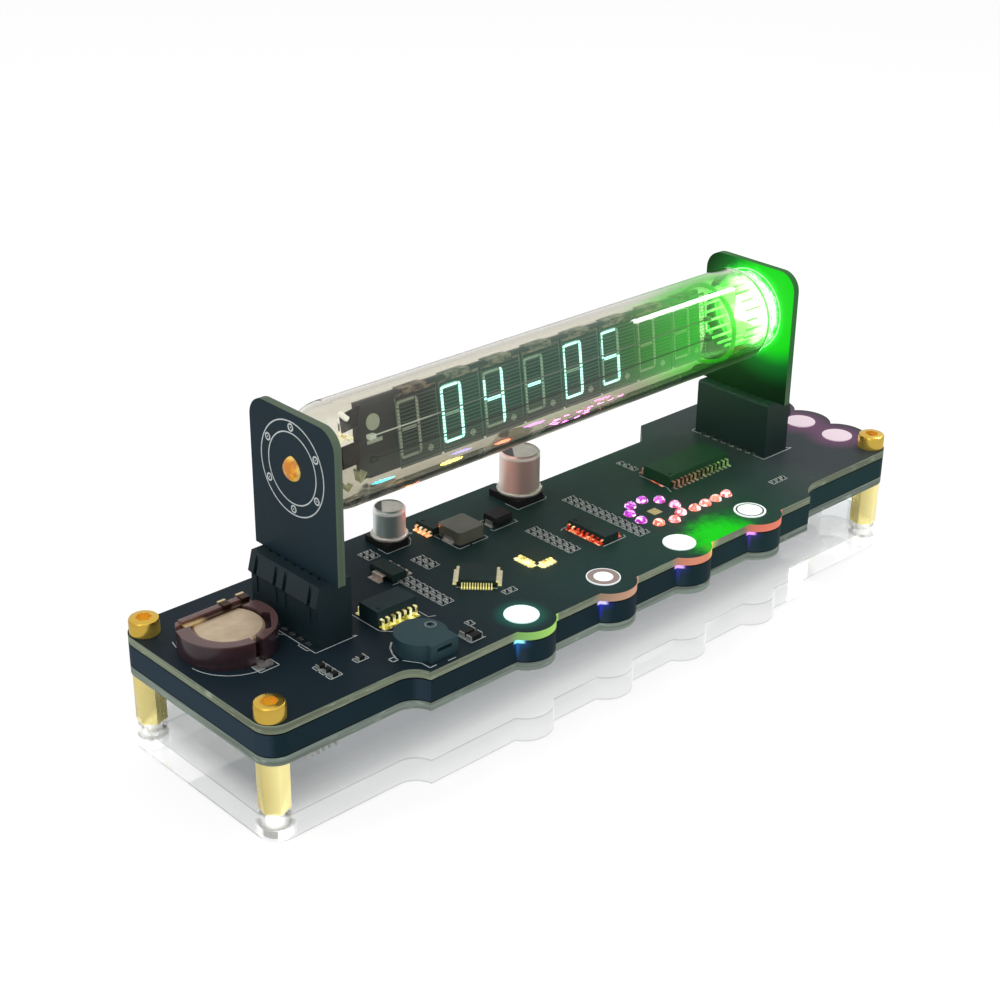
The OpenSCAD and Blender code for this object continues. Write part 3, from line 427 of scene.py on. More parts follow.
def green_patch(f, face, colour, glow):
    """The rough patch of green light that the lamp throws on the front of the board."""
    x, y = f.axis(0) - board_x(25.0), f.axis(1) - board_y(-23.0)
    u = x * 0.95 + y * 0.31
    v = y * 0.95 - x * 0.31
    patch = ((u / 0.0112).size().power(2.0) + (v / 0.0066).size().power(2.0)).power(0.5)
    rough = f.noise(520.0, 6.0, 0.8)
    # Mask of the painted green lamp light on the board.
    lamp_light_mask = f.between(patch + (rough - 0.5) * 0.9, 1.25, 0.55) * face
    bright = f.between(f.far(on_board(24.0, -26.0)) + (rough - 0.5) * 0.009, 0.0115, 0.0035)
    light = f.mix(bright, (10, 84, 34), (2, 208, 6))
    return f.mix(lamp_light_mask * 0.9, colour, (8, 30, 8)), f.mix(lamp_light_mask, glow, light)


@remembered
def main_board_finish():
    """Dark lacquer, bluer on the left and greyer on the right, with the light of the parts on it."""
    f = Finish("main_board_lacquer")
    length = f.between(f.axis(0), board_x(-80), board_x(80))
    weave = f.noise(420.0, 3.0)
    cloud = f.noise(38.0, 3.0)
    top = f.mix(f.between(length, 0.1, 0.45), (21, 36, 45), (31, 58, 55))
    top = f.mix(f.between(length, 0.45, 0.8), top, (34, 66, 57))
    top = f.mix(f.between(length, 0.82, 0.98), top, (56, 62, 68))
    top = f.mix(cloud * 0.3, top, (26, 33, 37))
    face, colour = laminate(f, top, (130, 140, 119))
    colour, glow = lobe_light(f, 1 - face, colour, (0, 0, 0))
    halo = f.near(on_board(*FRONT_KEYS[0]), 0.0043, 0.0016) * face
    glow = f.mix(halo * 0.75, glow, (8, 90, 74))
    for key in END_KEYS:
        glow = f.mix(f.near(on_board(*key), 0.0052, 0.003) * face * 0.7, glow, (112, 44, 96))
    colour, glow = green_patch(f, face, colour, glow)
    return f.set(base_color=colour, roughness=0.46 + weave * 0.12, specular=0.1,
                 emission_color=glow, emission_strength=1.0, normal=f.bump(weave, 0.00002, 0.25))


@remembered
def lower_board_finish():
    """Dark lacquer of the lower board, with a paler cut edge."""
    f = Finish("lower_board_lacquer")
    cloud = f.noise(60.0, 3.0)
    colour = laminate(f, f.mix(cloud, (24, 30, 34), (36, 46, 46)), (128, 142, 132))[1]
    return f.set(base_color=colour, roughness=0.5, specular=0.18)


@remembered
def spacer_finish():
    """Dark plastic of the frame between the boards, with painted light on its left faces and streaks of light
    beside the front keys.
    """
    f = Finish("spacer_frame_plastic")
    x, y, z = f.axis(0), f.axis(1), f.axis(2)
    cloud = f.noise(70.0, 3.0)
    fine = f.noise(1500.0, 2.0)
    colour = f.mix(cloud, (13, 33, 41), (20, 44, 53))
    right = f.between(x, board_x(-10), board_x(60))
    colour = f.mix(right, colour, f.mix(cloud, (18, 46, 50), (27, 56, 58)))
    # Painted light: the faces turned to the left are lighter.
    colour = f.mix(f.between(f.axis(0, f.facing), -0.5, -0.8), colour, (36, 54, 66))
    low, high = box("spacer_frame")
    seam = f.span(z, low.z + 0.0002, high.z - 0.00028, 0.00008)
    colour = f.mix(seam, (6, 8, 10), colour)
    glow = (0, 0, 0)
    spots = (((150, 240, 255), (10, 90, 170)), ((200, 190, 255), (20, 20, 190)),
             ((215, 165, 255), (40, 20, 150)), ((225, 150, 255), (70, 20, 150)))
    front = f.between(y, board_y(LOBE_ROOT + 0.5), board_y(LOBE_ROOT))
    for key, (hot, streak) in zip(FRONT_KEYS, spots):
        centre = board_x(key.x - LOBE_HALF)
        line = f.span(x, centre - 0.0002, centre + 0.0002, 0.0003) * front
        pool = f.span(x, centre - 0.0007, centre + 0.0014, 0.0009) * front
        glow = f.mix(pool * f.between(z, BOARD_UNDER - 0.0022, BOARD_UNDER - 0.0005) * 0.22, glow, streak)
        glow = f.mix(line * f.between(z, BOARD_UNDER - 0.0044, BOARD_UNDER - 0.0006) * 0.8, glow, streak)
        glow = f.mix(f.span(x, centre - 0.0007, centre + 0.0008, 0.0003) * front
                     * f.between(z, BOARD_UNDER - 0.00075, BOARD_UNDER - 0.0005), glow, hot)
    return f.set(base_color=colour, roughness=0.5 + fine * 0.1, specular=0.08, emission_color=glow,
                 emission_strength=1.3, normal=f.bump(fine, 0.00002, 0.3))


@remembered
def upright_finish(lit):
    """Lacquer of an upright. The right one has the lamp's light painted on it, white close to the lamp, over
    a darker green face colour, and painted green light on its cut edge.
    """
    f = Finish("right_upright_lamplit_lacquer" if lit else "left_upright_lacquer")
    face = f.between(f.axis(0, f.facing).size(), 0.5, 0.8)
    weave = f.noise(420.0, 3.0)
    top = f.mix(f.noise(45.0, 3.0), (20, 37, 46), (31, 52, 61))
    layers = f.noise(700.0, 2.0, stretch=(2.2, 0.05, 0.05))
    cut = f.mix(layers * 0.6, (92, 108, 90), (50, 62, 52))
    glow = (0, 0, 0)
    # Painted lamp light on the right upright: glow on its faces, a darker green face colour under it, and a
    # green tint on its cut edge.
    if lit:
        ragged = f.far(LAMP) + (f.noise(420.0, 3.0) - 0.5) * 0.003
        side = f.far(LAMP + Vector((0, -0.0065, 0.0025)))
        glow = f.mix(f.between(side, 0.0185, 0.0105), (0, 4, 3), (0, 74, 20))
        glow = f.mix(f.between(side, 0.0135, 0.0085), glow, (0, 150, 4))
        glow = f.mix(f.between(ragged, 0.0105, 0.0072), glow, (20, 190, 44))
        glow = f.mix(f.between(ragged, 0.0084, 0.0066), glow, (235, 255, 235))
        glow = f.mix(face, (0, 14, 4), glow)
        top = (4, 16, 11)
        cut = f.mix(f.between(side, 0.020, 0.012) * 0.8, cut, (24, 84, 34))
    return f.set(base_color=f.mix(face, cut, top), roughness=0.44 + weave * 0.1,
                 specular=0.04 if lit else 0.14, emission_color=glow,
                 emission_strength=2.2 if lit else 0.0, normal=f.bump(weave, 0.00002, 0.25))


@remembered
def print_ink(lit=False):
    """White print, a little worn. On the right upright it carries painted green light near the lamp."""
    f = Finish("lit_print_ink" if lit else "white_print_ink")
    worn = f.noise(900.0, 3.0)
    glow = (0, 0, 0)
    if lit:
        glow = f.mix(f.between(f.far(LAMP), 0.016, 0.009), (6, 60, 20), (120, 255, 110))
    return f.set(base_color=f.mix(worn, (150, 160, 160), (214, 220, 220)), roughness=0.6,
                 emission_color=glow, emission_strength=0.8 if lit else 0.0)


@remembered
def solder_pads():
    """Bright, lumpy tinned pads."""
    f = Finish("tinned_pads")
    lump = f.noise(1300.0, 3.0)
    return f.set(base_color=f.mix(lump, (150, 152, 150), (225, 228, 226)), metallic=0.7,
                 roughness=0.28 + lump * 0.25, normal=f.bump(lump, 0.00006, 0.6))


@remembered
def lit_solder(name, dark, middle_tone, bright):
    """Solder between the leads of a chip, lumpy and full of the light of the part beside it."""
    f = Finish(name)
    lump = f.noise(900.0, 4.0)
    colour = f.mix(f.between(lump, 0.36, 0.5), dark, middle_tone)
    colour = f.mix(f.between(lump, 0.52, 0.66), colour, bright)
    return f.set(base_color=colour, metallic=0.3, roughness=0.3 + lump * 0.2, emission_color=colour,
                 emission_strength=0.62, normal=f.bump(lump, 0.00012, 0.7))


@remembered
def black_plastic(name, shade, rough):
    """Moulded plastic with a fine grain."""
    f = Finish(name)
    grain = f.noise(2200.0, 3.0)
    cloud = f.noise(90.0, 3.0)
    return f.set(base_color=f.mix(cloud, faded(shade, 0.7), shade), roughness=rough + grain * 0.15,
                 specular=0.3, normal=f.bump(grain, 0.00003, 0.4))


@remembered
def plated(name, dull, bright, rough, glow, strength):
    """Plated or tinned metal, with the light that it catches."""
    f = Finish(name)
    lump = f.noise(1500.0, 3.0)
    return f.set(base_color=f.mix(lump, dull, bright), metallic=0.85, roughness=rough + lump * 0.2,
                 emission_color=f.mix(lump, faded(glow, 0.5), glow), emission_strength=strength,
                 normal=f.bump(lump, 0.00004, 0.4))


@remembered
def glass():
    """Clear glass, brownish along its foot with a faint painted glow there, and tinted with painted green
    lamp light a little away from the lamp.
    """
    f = Finish("tube_glass")
    streak = f.noise(26.0, 3.0, stretch=(0.25, 1, 1))
    colour = f.mix(streak, (232, 229, 218), (246, 244, 236))
    # Brownish along the foot, with a faint painted glow there as emission.
    foot = f.between(f.axis(2) + (streak - 0.5) * 0.0012, TUBE_LOW.z + 0.0042, TUBE_LOW.z + 0.0024)
    colour = f.mix(foot * 0.8, colour, f.mix(streak, (156, 150, 134), (186, 180, 164)))
    # Painted green light from the lamp, as a tint in a band round it.
    away = f.far(LAMP)
    green = f.between(away, 0.036, 0.018) * f.between(away, 0.0112, 0.0145)
    return f.set(base_color=f.mix(green * 0.9, colour, (112, 226, 84)), roughness=0.0,
                 transmission=1.0, ior=1.47, specular_tint=(0.55, 0.55, 0.55, 1.0),
                 emission_color=f.mix(foot, (0, 0, 0), (40, 41, 37)), emission_strength=1.0)


def tube_glow(f, base):
    """Teal light round the lit digits and green light round the lamp, as an emission colour."""
    x, z = f.axis(0), f.axis(2)
    low, high = box("lit_segments")
    teal = f.span(x, low.x - 0.001, high.x + 0.001, 0.0035)
    teal = teal * f.between(z, low.z - 0.002, low.z + 0.005)
    spread = f.far(LAMP)
    glow = f.mix(teal * 0.8, (0, 0, 0), base)
    lumps = f.noise(520.0, 3.0)
    glow = f.mix(f.between(spread, 0.046, 0.014) * 0.9, glow, (16, 182, 22))
    green = f.mix(f.between(lumps, 0.55, 0.75), (0, 178, 24), (120, 240, 60))
    return f.mix(f.between(spread + (lumps - 0.5) * 0.006, 0.018, 0.008), glow, green)


@remembered
def substrate_finish():
    """Dark coated glass behind the digits: fine lines, a paler band along its foot, and painted light from
    the digits and the lamp.
    """
    f = Finish("dark_glass_substrate")
    z = f.axis(2)
    low, high = box("tube_substrate")
    cloud = f.noise(110.0, 3.0)
    band = f.between(z, low.z + 0.0045, low.z + 0.0028)
    colour = f.mix(cloud, (26, 46, 42), (40, 64, 58))
    lines = f.between((f.noise(1.0, 0.0, stretch=(20, 900, 1500)) - 0.5).size(), 0.02, 0.1)
    colour = f.mix(lines * 0.35, colour, (70, 92, 84))
    colour = f.mix(band * 0.8, colour, (92, 108, 96))
    left = f.between(f.axis(0), low.x + 0.009, low.x + 0.007)
    colour = f.mix(left * 0.6, colour, (74, 72, 74))
    return f.set(base_color=colour, roughness=0.4, specular=0.25,
                 emission_color=tube_glow(f, (4, 62, 50)), emission_strength=1.0)


@remembered
def grid_finish():
    """Grey-green wire of the grids, with a rippled metal strip along their top and painted light from the
    digits and the lamp.
    """
    f = Finish("fine_grid_wire")
    lump = f.noise(1200.0, 3.0)
    z = f.axis(2)
    low, high = box("control_grids")
    top = f.between(z, high.z - 0.0022, high.z - 0.0012)
    colour = f.mix(lump, (82, 110, 100), (124, 146, 132))
    ripple = f.noise(1.0, 5.0, 0.7, stretch=(520, 520, 1500))
    colour = f.mix(top, colour, f.mix(f.between(ripple, 0.38, 0.62), (58, 54, 48), (170, 160, 140)))
    return f.set(base_color=colour, roughness=0.5, specular=0.3,
                 emission_color=tube_glow(f, (10, 92, 74)), emission_strength=0.7)


@remembered
def phosphor(lit):
    """Powdery segments: teal where they are lit, pale grey where they rest, with painted light on the resting
    ones.
    """
    f = Finish("lit_phosphor" if lit else "resting_phosphor")
    powder = f.noise(1800.0, 3.0)
    if lit:
        return f.set(base_color=(200, 235, 225), roughness=0.8, emission_strength=2.3,
                     emission_color=f.mix(powder, (120, 252, 228), (205, 255, 246)))
    glow = f.mix(0.5, tube_glow(f, (40, 150, 120)), (96, 104, 92))
    return f.set(base_color=f.mix(powder, (160, 172, 156), (206, 214, 198)), roughness=0.85,
                 emission_color=glow, emission_strength=1.1)


@remembered
def lit_metal(name, dull, bright, rough):
    """Metal inside the glass, with the light of the tube on it."""
    f = Finish(name)
    lump = f.noise(700.0, 3.0)
    return f.set(base_color=f.mix(lump, dull, bright), metallic=0.6, roughness=rough + lump * 0.2,
                 emission_color=tube_glow(f, (0, 0, 0)), emission_strength=0.9)


@remembered
def heater_wire():
    """Two fine wires: the upper one has a painted highlight, the lower one stays dark."""
    f = Finish("heater_wire")
    lump = f.noise(500.0, 3.0)
    low, high = box("filament_wires")
    centre = (low.z + high.z) / 2
    upper = f.between(f.axis(2), centre - 0.0005, centre + 0.0005)
    upper = upper * (0.25 + f.between(f.axis(0), board_x(-25), board_x(-31)) * 0.75)
    colour = f.mix(upper, (40, 54, 50), f.mix(lump, (190, 200, 192), (236, 240, 234)))
    return f.set(base_color=colour, metallic=0.5, roughness=0.3,
                 emission_color=f.mix(upper, (0, 0, 0), (96, 108, 100)), emission_strength=1.0)


@remembered
def lamp_wire():
    """Leads at the lit end, with painted lamp light: white near the lamp, green away from it."""
    f = Finish("lamp_wire")
    lump = f.noise(420.0, 4.0)
    glow = f.mix(f.between(lump, 0.6, 0.72), (170, 255, 160), (255, 255, 250))
    glow = f.mix(f.between(f.far(LAMP) + (lump - 0.5) * 0.004, 0.0085, 0.0065), (10, 170, 24), glow)
    return f.set(base_color=(170, 220, 170), metallic=0.5, roughness=0.3 + lump * 0.2,
                 emission_color=glow, emission_strength=3.6)


@remembered
def getter_metal():
    """Pale straps and the cream block of the getter, with painted light on the block, the tab and the lower
    parts, and a painted white highlight on the tab.
    """
    f = Finish("getter_metal")
    lump = f.noise(1100.0, 4.0)
    z = f.axis(2)
    block = f.span(z, board_z(32.6), board_z(35), 0.0003)
    tab = f.between(z, board_z(36.0), board_z(36.6))
    low = f.between(z, board_z(28), board_z(27))
    colour = f.mix(f.between(lump, 0.4, 0.6), (84, 80, 66), (136, 130, 108))
    colour = f.mix(low, colour, f.mix(lump, (120, 128, 92), (206, 208, 168)))
    colour = f.mix(block, colour, f.mix(f.between(lump, 0.36, 0.5), (196, 184, 132), (246, 240, 206)))
    # Painted highlight: the tab is painted near white.
    colour = f.mix(tab, colour, (250, 250, 246))
    # Painted light on the block, the tab and the lower parts, as emission.
    light = (block + tab + low * 0.35) * 0.75
    return f.set(base_color=colour, metallic=0.3, roughness=0.35,
                 emission_color=f.mix(light, (0, 0, 0), colour), emission_strength=0.85)


@remembered
def amber_rubber():
    """Amber seal: deep in the middle, with a painted highlight along its rim and a faint painted glow."""
    f = Finish("amber_rubber")
    centre = middle("tip_grommet")
    away = ((f.axis(1) - centre.y).power(2.0) + (f.axis(2) - centre.z).power(2.0)).power(0.5)
    grain = f.noise(500.0, 3.0)
    rim = f.between(away + (grain - 0.5) * 0.0006, 0.0018, 0.0023)
    colour = f.mix(f.between(grain, 0.4, 0.62), (198, 120, 4), (236, 166, 18))
    # Painted highlight along the rim.
    colour = f.mix(rim * 0.75, colour, (246, 222, 130))
    return f.set(base_color=colour, roughness=0.14 + grain * 0.1, coat_weight=0.4,
                 emission_color=colour, emission_strength=0.12, normal=f.bump(grain, 0.00006, 0.4))


@remembered
def lamp_finish():
    """The green lamp, white in its middle."""
    f = Finish("green_lamp")
    die = f.between(f.far(LAMP), 0.0028, 0.0012)
    return f.set(base_color=(220, 255, 220), roughness=0.4,
                 emission_color=f.mix(die, (150, 255, 140), (240, 255, 240)), emission_strength=64.0)


@remembered
def smoky_plastic():
    """Smoky brown plastic of the coin cell's holder, lighter along its rim."""
    f = Finish("smoky_brown_plastic")
    z = f.axis(2)
    low, high = box("coin_holder")
    rim = f.between(z, high.z - 0.0008, high.z - 0.0003)
    cloud = f.noise(260.0, 3.0)
    colour = f.mix(cloud, (36, 26, 32), (60, 43, 48))
    return f.set(base_color=f.mix(rim * 0.6, colour, (110, 80, 80)), roughness=0.18 + cloud * 0.1,
                 specular=0.5, subsurface_weight=0.1, coat_weight=0.2)


@remembered
def cell_steel():
    """Brushed and slightly dented steel of the coin cell, tinted warm, with painted warm light on it."""
    f = Finish("coin_cell_steel")
    brushed = f.noise(700.0, 4.0, stretch=(0.25, 1, 1))
    dents = f.noise(330.0, 3.0)
    # The emission is painted warm light.
    return f.set(base_color=f.mix(dents, (166, 148, 124), (222, 206, 178)), metallic=0.75,
                 roughness=0.34 + brushed * 0.15, normal=f.bump(dents, 0.00012, 0.5),
                 emission_color=(120, 98, 80), emission_strength=0.35)


@remembered
def cell_contacts():
    """Pale gold clip along the back, with a painted highlight on the left of its bar and dark on the right,
    and at the front darker metal, painted shade in its slot, over a bright soldered foot.
    """
    f = Finish("cell_contact")
    low, high = box("coin_contacts")
    y, z = f.axis(1), f.axis(2)
    lump = f.noise(900.0, 3.0)
    front = f.between(y, low.y + 0.0075, low.y + 0.006)
    foot = f.between(z, BOARD_TOP + 0.0006, BOARD_TOP + 0.0004)
    gold = f.mix(lump, (168, 136, 84), (238, 214, 160))
    # The bar is dark, with a painted highlight on its left part.
    clip = f.between(y, high.y - 0.0021, high.y - 0.0024)
    dark = f.between(f.axis(0), middle("coin_cell").x - 0.0035, middle("coin_cell").x - 0.0015) * clip
    gold = f.mix(dark, f.mix(clip, (226, 206, 166), gold), (70, 48, 36))
    # At the front the metal above the foot is painted dark as shade in its slot.
    tin = f.mix(foot, (50, 38, 38), f.mix(lump, (150, 150, 146), (230, 230, 226)))
    return f.set(base_color=f.mix(front, gold, tin), metallic=0.8, roughness=0.22 + lump * 0.15,
                 normal=f.bump(lump, 0.00004, 0.4))


@remembered
def can_aluminium(name, painted_side_tones):
    """Drawn aluminium: painted light and shade in four bands round the side, a painted highlight just under
    the top edge, painted glow on the side, and a dark segment at the back left of the top.
    """
    f = Finish(name + "_aluminium")
    low, high = box(name)
    centre = middle(name)
    x, y, z = f.axis(0) - centre.x, f.axis(1) - centre.y, f.axis(2)
    around = (x * 0.73 - y * 0.68) / ((high.x - low.x) / 2)
    drawn = f.noise(900.0, 2.0, stretch=(1, 1, 0.06))
    # Painted light and shade: four tones by the direction the side faces.
    colour = f.mix(f.between(around, -0.95, -0.62), painted_side_tones[0], painted_side_tones[1])
    colour = f.mix(f.between(around, -0.55, 0.2), colour, painted_side_tones[2])
    colour = f.mix(f.between(around, 0.35, 0.95), colour, painted_side_tones[3])
    colour = f.mix(drawn * 0.3, colour, (96, 94, 90))
    # Painted highlight just under the top edge.
    rim = f.span(z, high.z - 0.0009, high.z - 0.0003, 0.00015)
    colour = f.mix(rim * 0.6, colour, (226, 222, 214))
    top = f.between(f.axis(2, f.facing), 0.7, 0.9)
    colour = f.mix(top, colour, f.mix(drawn, (150, 150, 140), (196, 194, 182)))
    mark = f.between(y * 0.62 - x * 0.78, 0.0013, 0.0015) * top
    # The side glows with its own painted colour; the top and the mark do not.
    unlit = (mark + top * 0.8).sum("MINIMUM", 1.0)
    return f.set(base_color=f.mix(mark, colour, (24, 26, 26)), metallic=0.8 - mark * 0.7,
                 roughness=0.28 + drawn * 0.16, emission_color=f.mix(unlit, colour, (0, 0, 0)),
                 emission_strength=0.45)


@remembered
def driver_tin():
    """Leads of the driver, with painted light: salmon on the left, pale green on the right, where the lamp
    reaches them.
    """
    f = Finish("driver_tin")
    low, high = box("driver_leads")
    lump = f.noise(1100.0, 3.0)
    right = f.between(f.axis(0), low.x, high.x)
    colour = f.mix(right, (206, 150, 124), (170, 214, 140))
    colour = f.mix(f.between(lump, 0.35, 0.65), f.mix(right, (96, 62, 50), (70, 96, 56)), colour)
    return f.set(base_color=colour, metallic=0.6, roughness=0.3 + lump * 0.2, emission_color=colour,
                 emission_strength=0.3, normal=f.bump(lump, 0.00004, 0.4))


@remembered
def controller_lit_leads():
    """Leads of the controller, with painted light: bright yellow in front, beige at the sides."""
    f = Finish("controller_lit_leads")
    at = middle("controller_chip")
    lump = f.noise(1300.0, 3.0)
    front = f.between((f.axis(0) - at.x) + (f.axis(1) - at.y), -0.0032, -0.0038)
    sides = f.mix(lump, (176, 168, 136), (222, 216, 190))
    colour = f.mix(front, sides, f.mix(lump, (220, 206, 110), (255, 252, 180)))
    return f.set(base_color=colour, metallic=0.5, roughness=0.3 + lump * 0.2, emission_color=colour,
                 emission_strength=0.4, normal=f.bump(lump, 0.00004, 0.4))


@remembered
def ferrite():
    """Pressed grey compound of the inductor, full of fine grit."""
    f = Finish("inductor_compound")
    grit = f.noise(1600.0, 4.0)
    cloud = f.noise(150.0, 2.0)
    return f.set(base_color=f.mix(cloud, (70, 72, 62), (104, 106, 92)), roughness=0.42 + grit * 0.2,
                 specular=0.5, normal=f.bump(grit, 0.00005, 0.5))


@remembered
def chip_plastic(name, shade):
    """Moulded chip body: matt, with a speckle and a slow change of tone."""
    f = Finish(name)
    grit = f.noise(2600.0, 3.0)
    cloud = f.noise(130.0, 2.0)
    return f.set(base_color=f.mix(cloud, faded(shade, 0.72), shade), roughness=0.5 + grit * 0.2,
                 specular=0.22, normal=f.bump(grit, 0.00004, 0.5))


@remembered
def key_white():
    """White discs lit from below: two in front are ringed, and those on the right end are pink."""
    f = Finish("lit_key_white")
    powder = f.noise(1400.0, 3.0)
    pink = f.between(f.axis(0), board_x(60), board_x(70))
    base = f.mix(pink, (232, 234, 234), (214, 200, 208))
    glow = (176, 190, 190)
    for key, inner, outer, tint in ((FRONT_KEYS[1], 1.85, 3.05, (150, 128, 124)),
                                    (FRONT_KEYS[3], 2.5, 2.85, (30, 24, 30))):
        ring = f.span(f.far(on_board(key.x, key.y, 0.2)), inner * MM, outer * MM, 0.00008)
        base = f.mix(ring, base, tint)
        glow = f.mix(ring, glow, (10, 8, 10))
    teal = f.near(on_board(*FRONT_KEYS[0]), 0.0045, 0.0005)
    glow = f.mix(teal * 0.6, glow, (140, 205, 194))
    glow = f.mix(pink, glow, (120, 84, 108))
    glow = f.mix(powder * 0.1, glow, (180, 190, 190))
    return f.set(base_color=base, roughness=0.5, emission_color=glow, emission_strength=0.75)


@remembered
def jewel_finish():
    """Jewels from purple on the left to pink and salmon on the right, with painted highlights and shade on
    their facets.
    """
    f = Finish("jewel_lights")
    row, ring = stones()
    tints = ((250, 118, 126), (238, 112, 184), (206, 88, 214), (184, 58, 204), (178, 56, 204),
             (186, 58, 210), (180, 54, 204), (238, 138, 98), (246, 112, 108))
    colour = (244, 132, 106)
    for at, tint in zip(ring, tints):
        colour = f.mix(f.near(on_board(at.x, at.y, 0.4), 0.00128, 0.00012), colour, tint)
    facets = f.node("ShaderNodeTexVoronoi", values={"Vector": f.place, "Scale": 1350.0}, output="Color")
    # Painted highlights on the bright facets and painted shade on the dark ones.
    bright = f.axis(0, facets)
    spark = f.between(bright, 0.5, 0.85)
    dark = f.mix(0.55, colour, (120, 12, 40))
    colour = f.mix(f.between(bright, 0.4, 0.1), colour, dark)
    light = f.mix(0.72, colour, (255, 240, 250))
    return f.set(base_color=f.mix(spark, colour, light), roughness=0.12, specular=0.7,
                 emission_color=f.mix(spark, colour, light), emission_strength=0.85)


@remembered
def floor_white():
    """Even white floor, greyer where glossy parts mirror it."""
    f = Finish("studio_floor")
    cloud = f.noise(3.0, 2.0)
    mirrored = (f.node("ShaderNodeLightPath", output="Is Glossy Ray")
                * f.node("ShaderNodeLightPath", output="Is Reflection Ray"))
    return f.set(base_color=f.mix(cloud, (146, 146, 148), (150, 150, 152)), roughness=0.9, specular=0.0,
                 emission_color=f.mix(mirrored, (255, 255, 255), (150, 152, 154)),
                 emission_strength=0.74)


def dress(material, *nodes):
    """Give CAD nodes their finish."""
    for node in nodes:
        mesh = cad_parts[node].data
        mesh.materials.clear()
        mesh.materials.append(material)


# Making new pieces

def place_mm(point, turn=0.0, axis="Y"):
    """A place at a point, turned about one axis, with a millimetre as its unit."""
    return Matrix.Translation(point) @ Matrix.Rotation(turn, 4, axis) @ Matrix.Scale(MM, 4)


BOARD_FACE = place_mm((BOARD_CENTRE.x, BOARD_CENTRE.y, BOARD_TOP))


def edges_of(verts):
    """Every edge that meets some vertices."""
    return list({edge for vert in verts for edge in vert.link_edges})


def bevelled(mesh, verts, offset, segments=1):
    """Break the edges between some vertices by an offset in millimetres."""
    bmesh.ops.bevel(mesh, geom=edges_of(verts), offset=offset * MM, affect="EDGES",
                    segments=segments, profile=0.5, material=-1)


class Drawing:
    """A mesh of thin marks and small forms, drawn in millimetres on a face of the object."""

    def __init__(self, onto, thick=0.03):
        self.mesh = bmesh.new()
        self.onto = onto
        self.thick = thick

    def block(self, centre, size, turn=0.0, low=-SINK, high=None):
        """A block on the face, turned about its middle, from a low to a high level."""
        high = self.thick if high is None else high
        place = (Matrix.Translation((centre[0], centre[1], (low + high) / 2))
                 @ Matrix.Rotation(turn, 4, "Z") @ Matrix.Diagonal((size[0], size[1], high - low, 1)))
        return bmesh.ops.create_cube(self.mesh, size=1.0, matrix=self.onto @ place)["verts"]

    def bar(self, start, end, width):
        """A straight mark with square ends that reach half its width further."""
        start, end = Vector(start), Vector(end)
        way = end - start
        self.block((start + end) / 2, (way.length + width, width), atan2(way.y, way.x))

    def line(self, points, width, at=(0.0, 0.0), closed=False):
        """Bars from point to point, about a place on the face."""
        points = [Vector(point) + Vector(at) for point in points]
        for start, end in zip(points, points[1:] + points[:1] * closed):
            self.bar(start, end, width)

    def outline(self, centre, size, width):
        """A rectangle drawn with four bars."""
        x, y = size[0] / 2, size[1] / 2
        self.line([(-x, -y), (x, -y), (x, y), (-x, y)], width, centre, closed=True)

    def ring(self, centre, radius, width, start=0.0, sweep=tau, steps=64):
        """A flat band round a centre, spun from its cross section."""
        hub = (centre[0], centre[1], 0)
        whole = abs(sweep - tau) < 1e-6
        known = set(self.mesh.verts)
        corners = [self.mesh.verts.new((centre[0] + radius + side * width / 2, centre[1], z))
                   for side, z in ((-1, -SINK), (1, -SINK), (1, self.thick), (-1, self.thick))]
        bmesh.ops.rotate(self.mesh, verts=corners, cent=hub, matrix=Matrix.Rotation(start, 3, "Z"))
        edges = [self.mesh.edges.new((corners[i], corners[(i + 1) % 4])) for i in range(4)]
        bmesh.ops.spin(self.mesh, geom=corners + edges, cent=hub, axis=(0, 0, 1), angle=sweep, steps=steps,
                       use_merge=whole)
        made = [vert for vert in self.mesh.verts if vert not in known]
        if not whole:
            rims = [edge for edge in edges_of(made) if len(edge.link_faces) == 1]
            bmesh.ops.holes_fill(self.mesh, edges=rims, sides=4)
        bmesh.ops.transform(self.mesh, verts=made, matrix=self.onto)

    def disc(self, centre, radius, steps=24, low=-SINK, high=None):
        """A flat disc with so many sides."""
        high = self.thick if high is None else high
        place = Matrix.Translation((centre[0], centre[1], (low + high) / 2))
        made = bmesh.ops.create_cone(self.mesh, cap_ends=True, segments=steps, radius1=radius,
                                     radius2=radius, depth=high - low, matrix=self.onto @ place)
        return made["verts"]


def spun(mesh, profile, onto, steps=64):
    """Spin a line of (radius, height) points, in millimetres, about the z axis of a place."""
    known = set(mesh.verts)
    corners = [mesh.verts.new((radius, 0, height)) for radius, height in profile]
    edges = [mesh.edges.new(pair) for pair in zip(corners, corners[1:])]
    bmesh.ops.spin(mesh, geom=corners + edges, cent=(0, 0, 0), axis=(0, 0, 1), angle=tau, steps=steps,
                   use_merge=True)
    bmesh.ops.transform(mesh, verts=[vert for vert in mesh.verts if vert not in known], matrix=onto)


def hoop(mesh, inner, outer, thick, onto, steps):
    """A closed flat hoop, spun round the z axis of a place."""
    spun(mesh, [(inner, 0), (outer, 0), (outer, thick), (inner, thick), (inner, 0)], onto, steps)


def curve(centre, radius, start, end, steps=8):
    """Points of a quarter or other part of a circle, for a profile."""
    angles = [radians(start + (end - start) * i / steps) for i in range(steps + 1)]
    return [(centre[0] + radius * cos(angle), centre[1] + radius * sin(angle)) for angle in angles]


def loop(mesh, onto, radius, height, sides):
    """Loop of edges round the z axis of a place."""
    place = onto @ Matrix.Translation((0, 0, height))
    return edges_of(bmesh.ops.create_circle(mesh, cap_ends=False, segments=sides, radius=radius,
                                            matrix=place)["verts"])


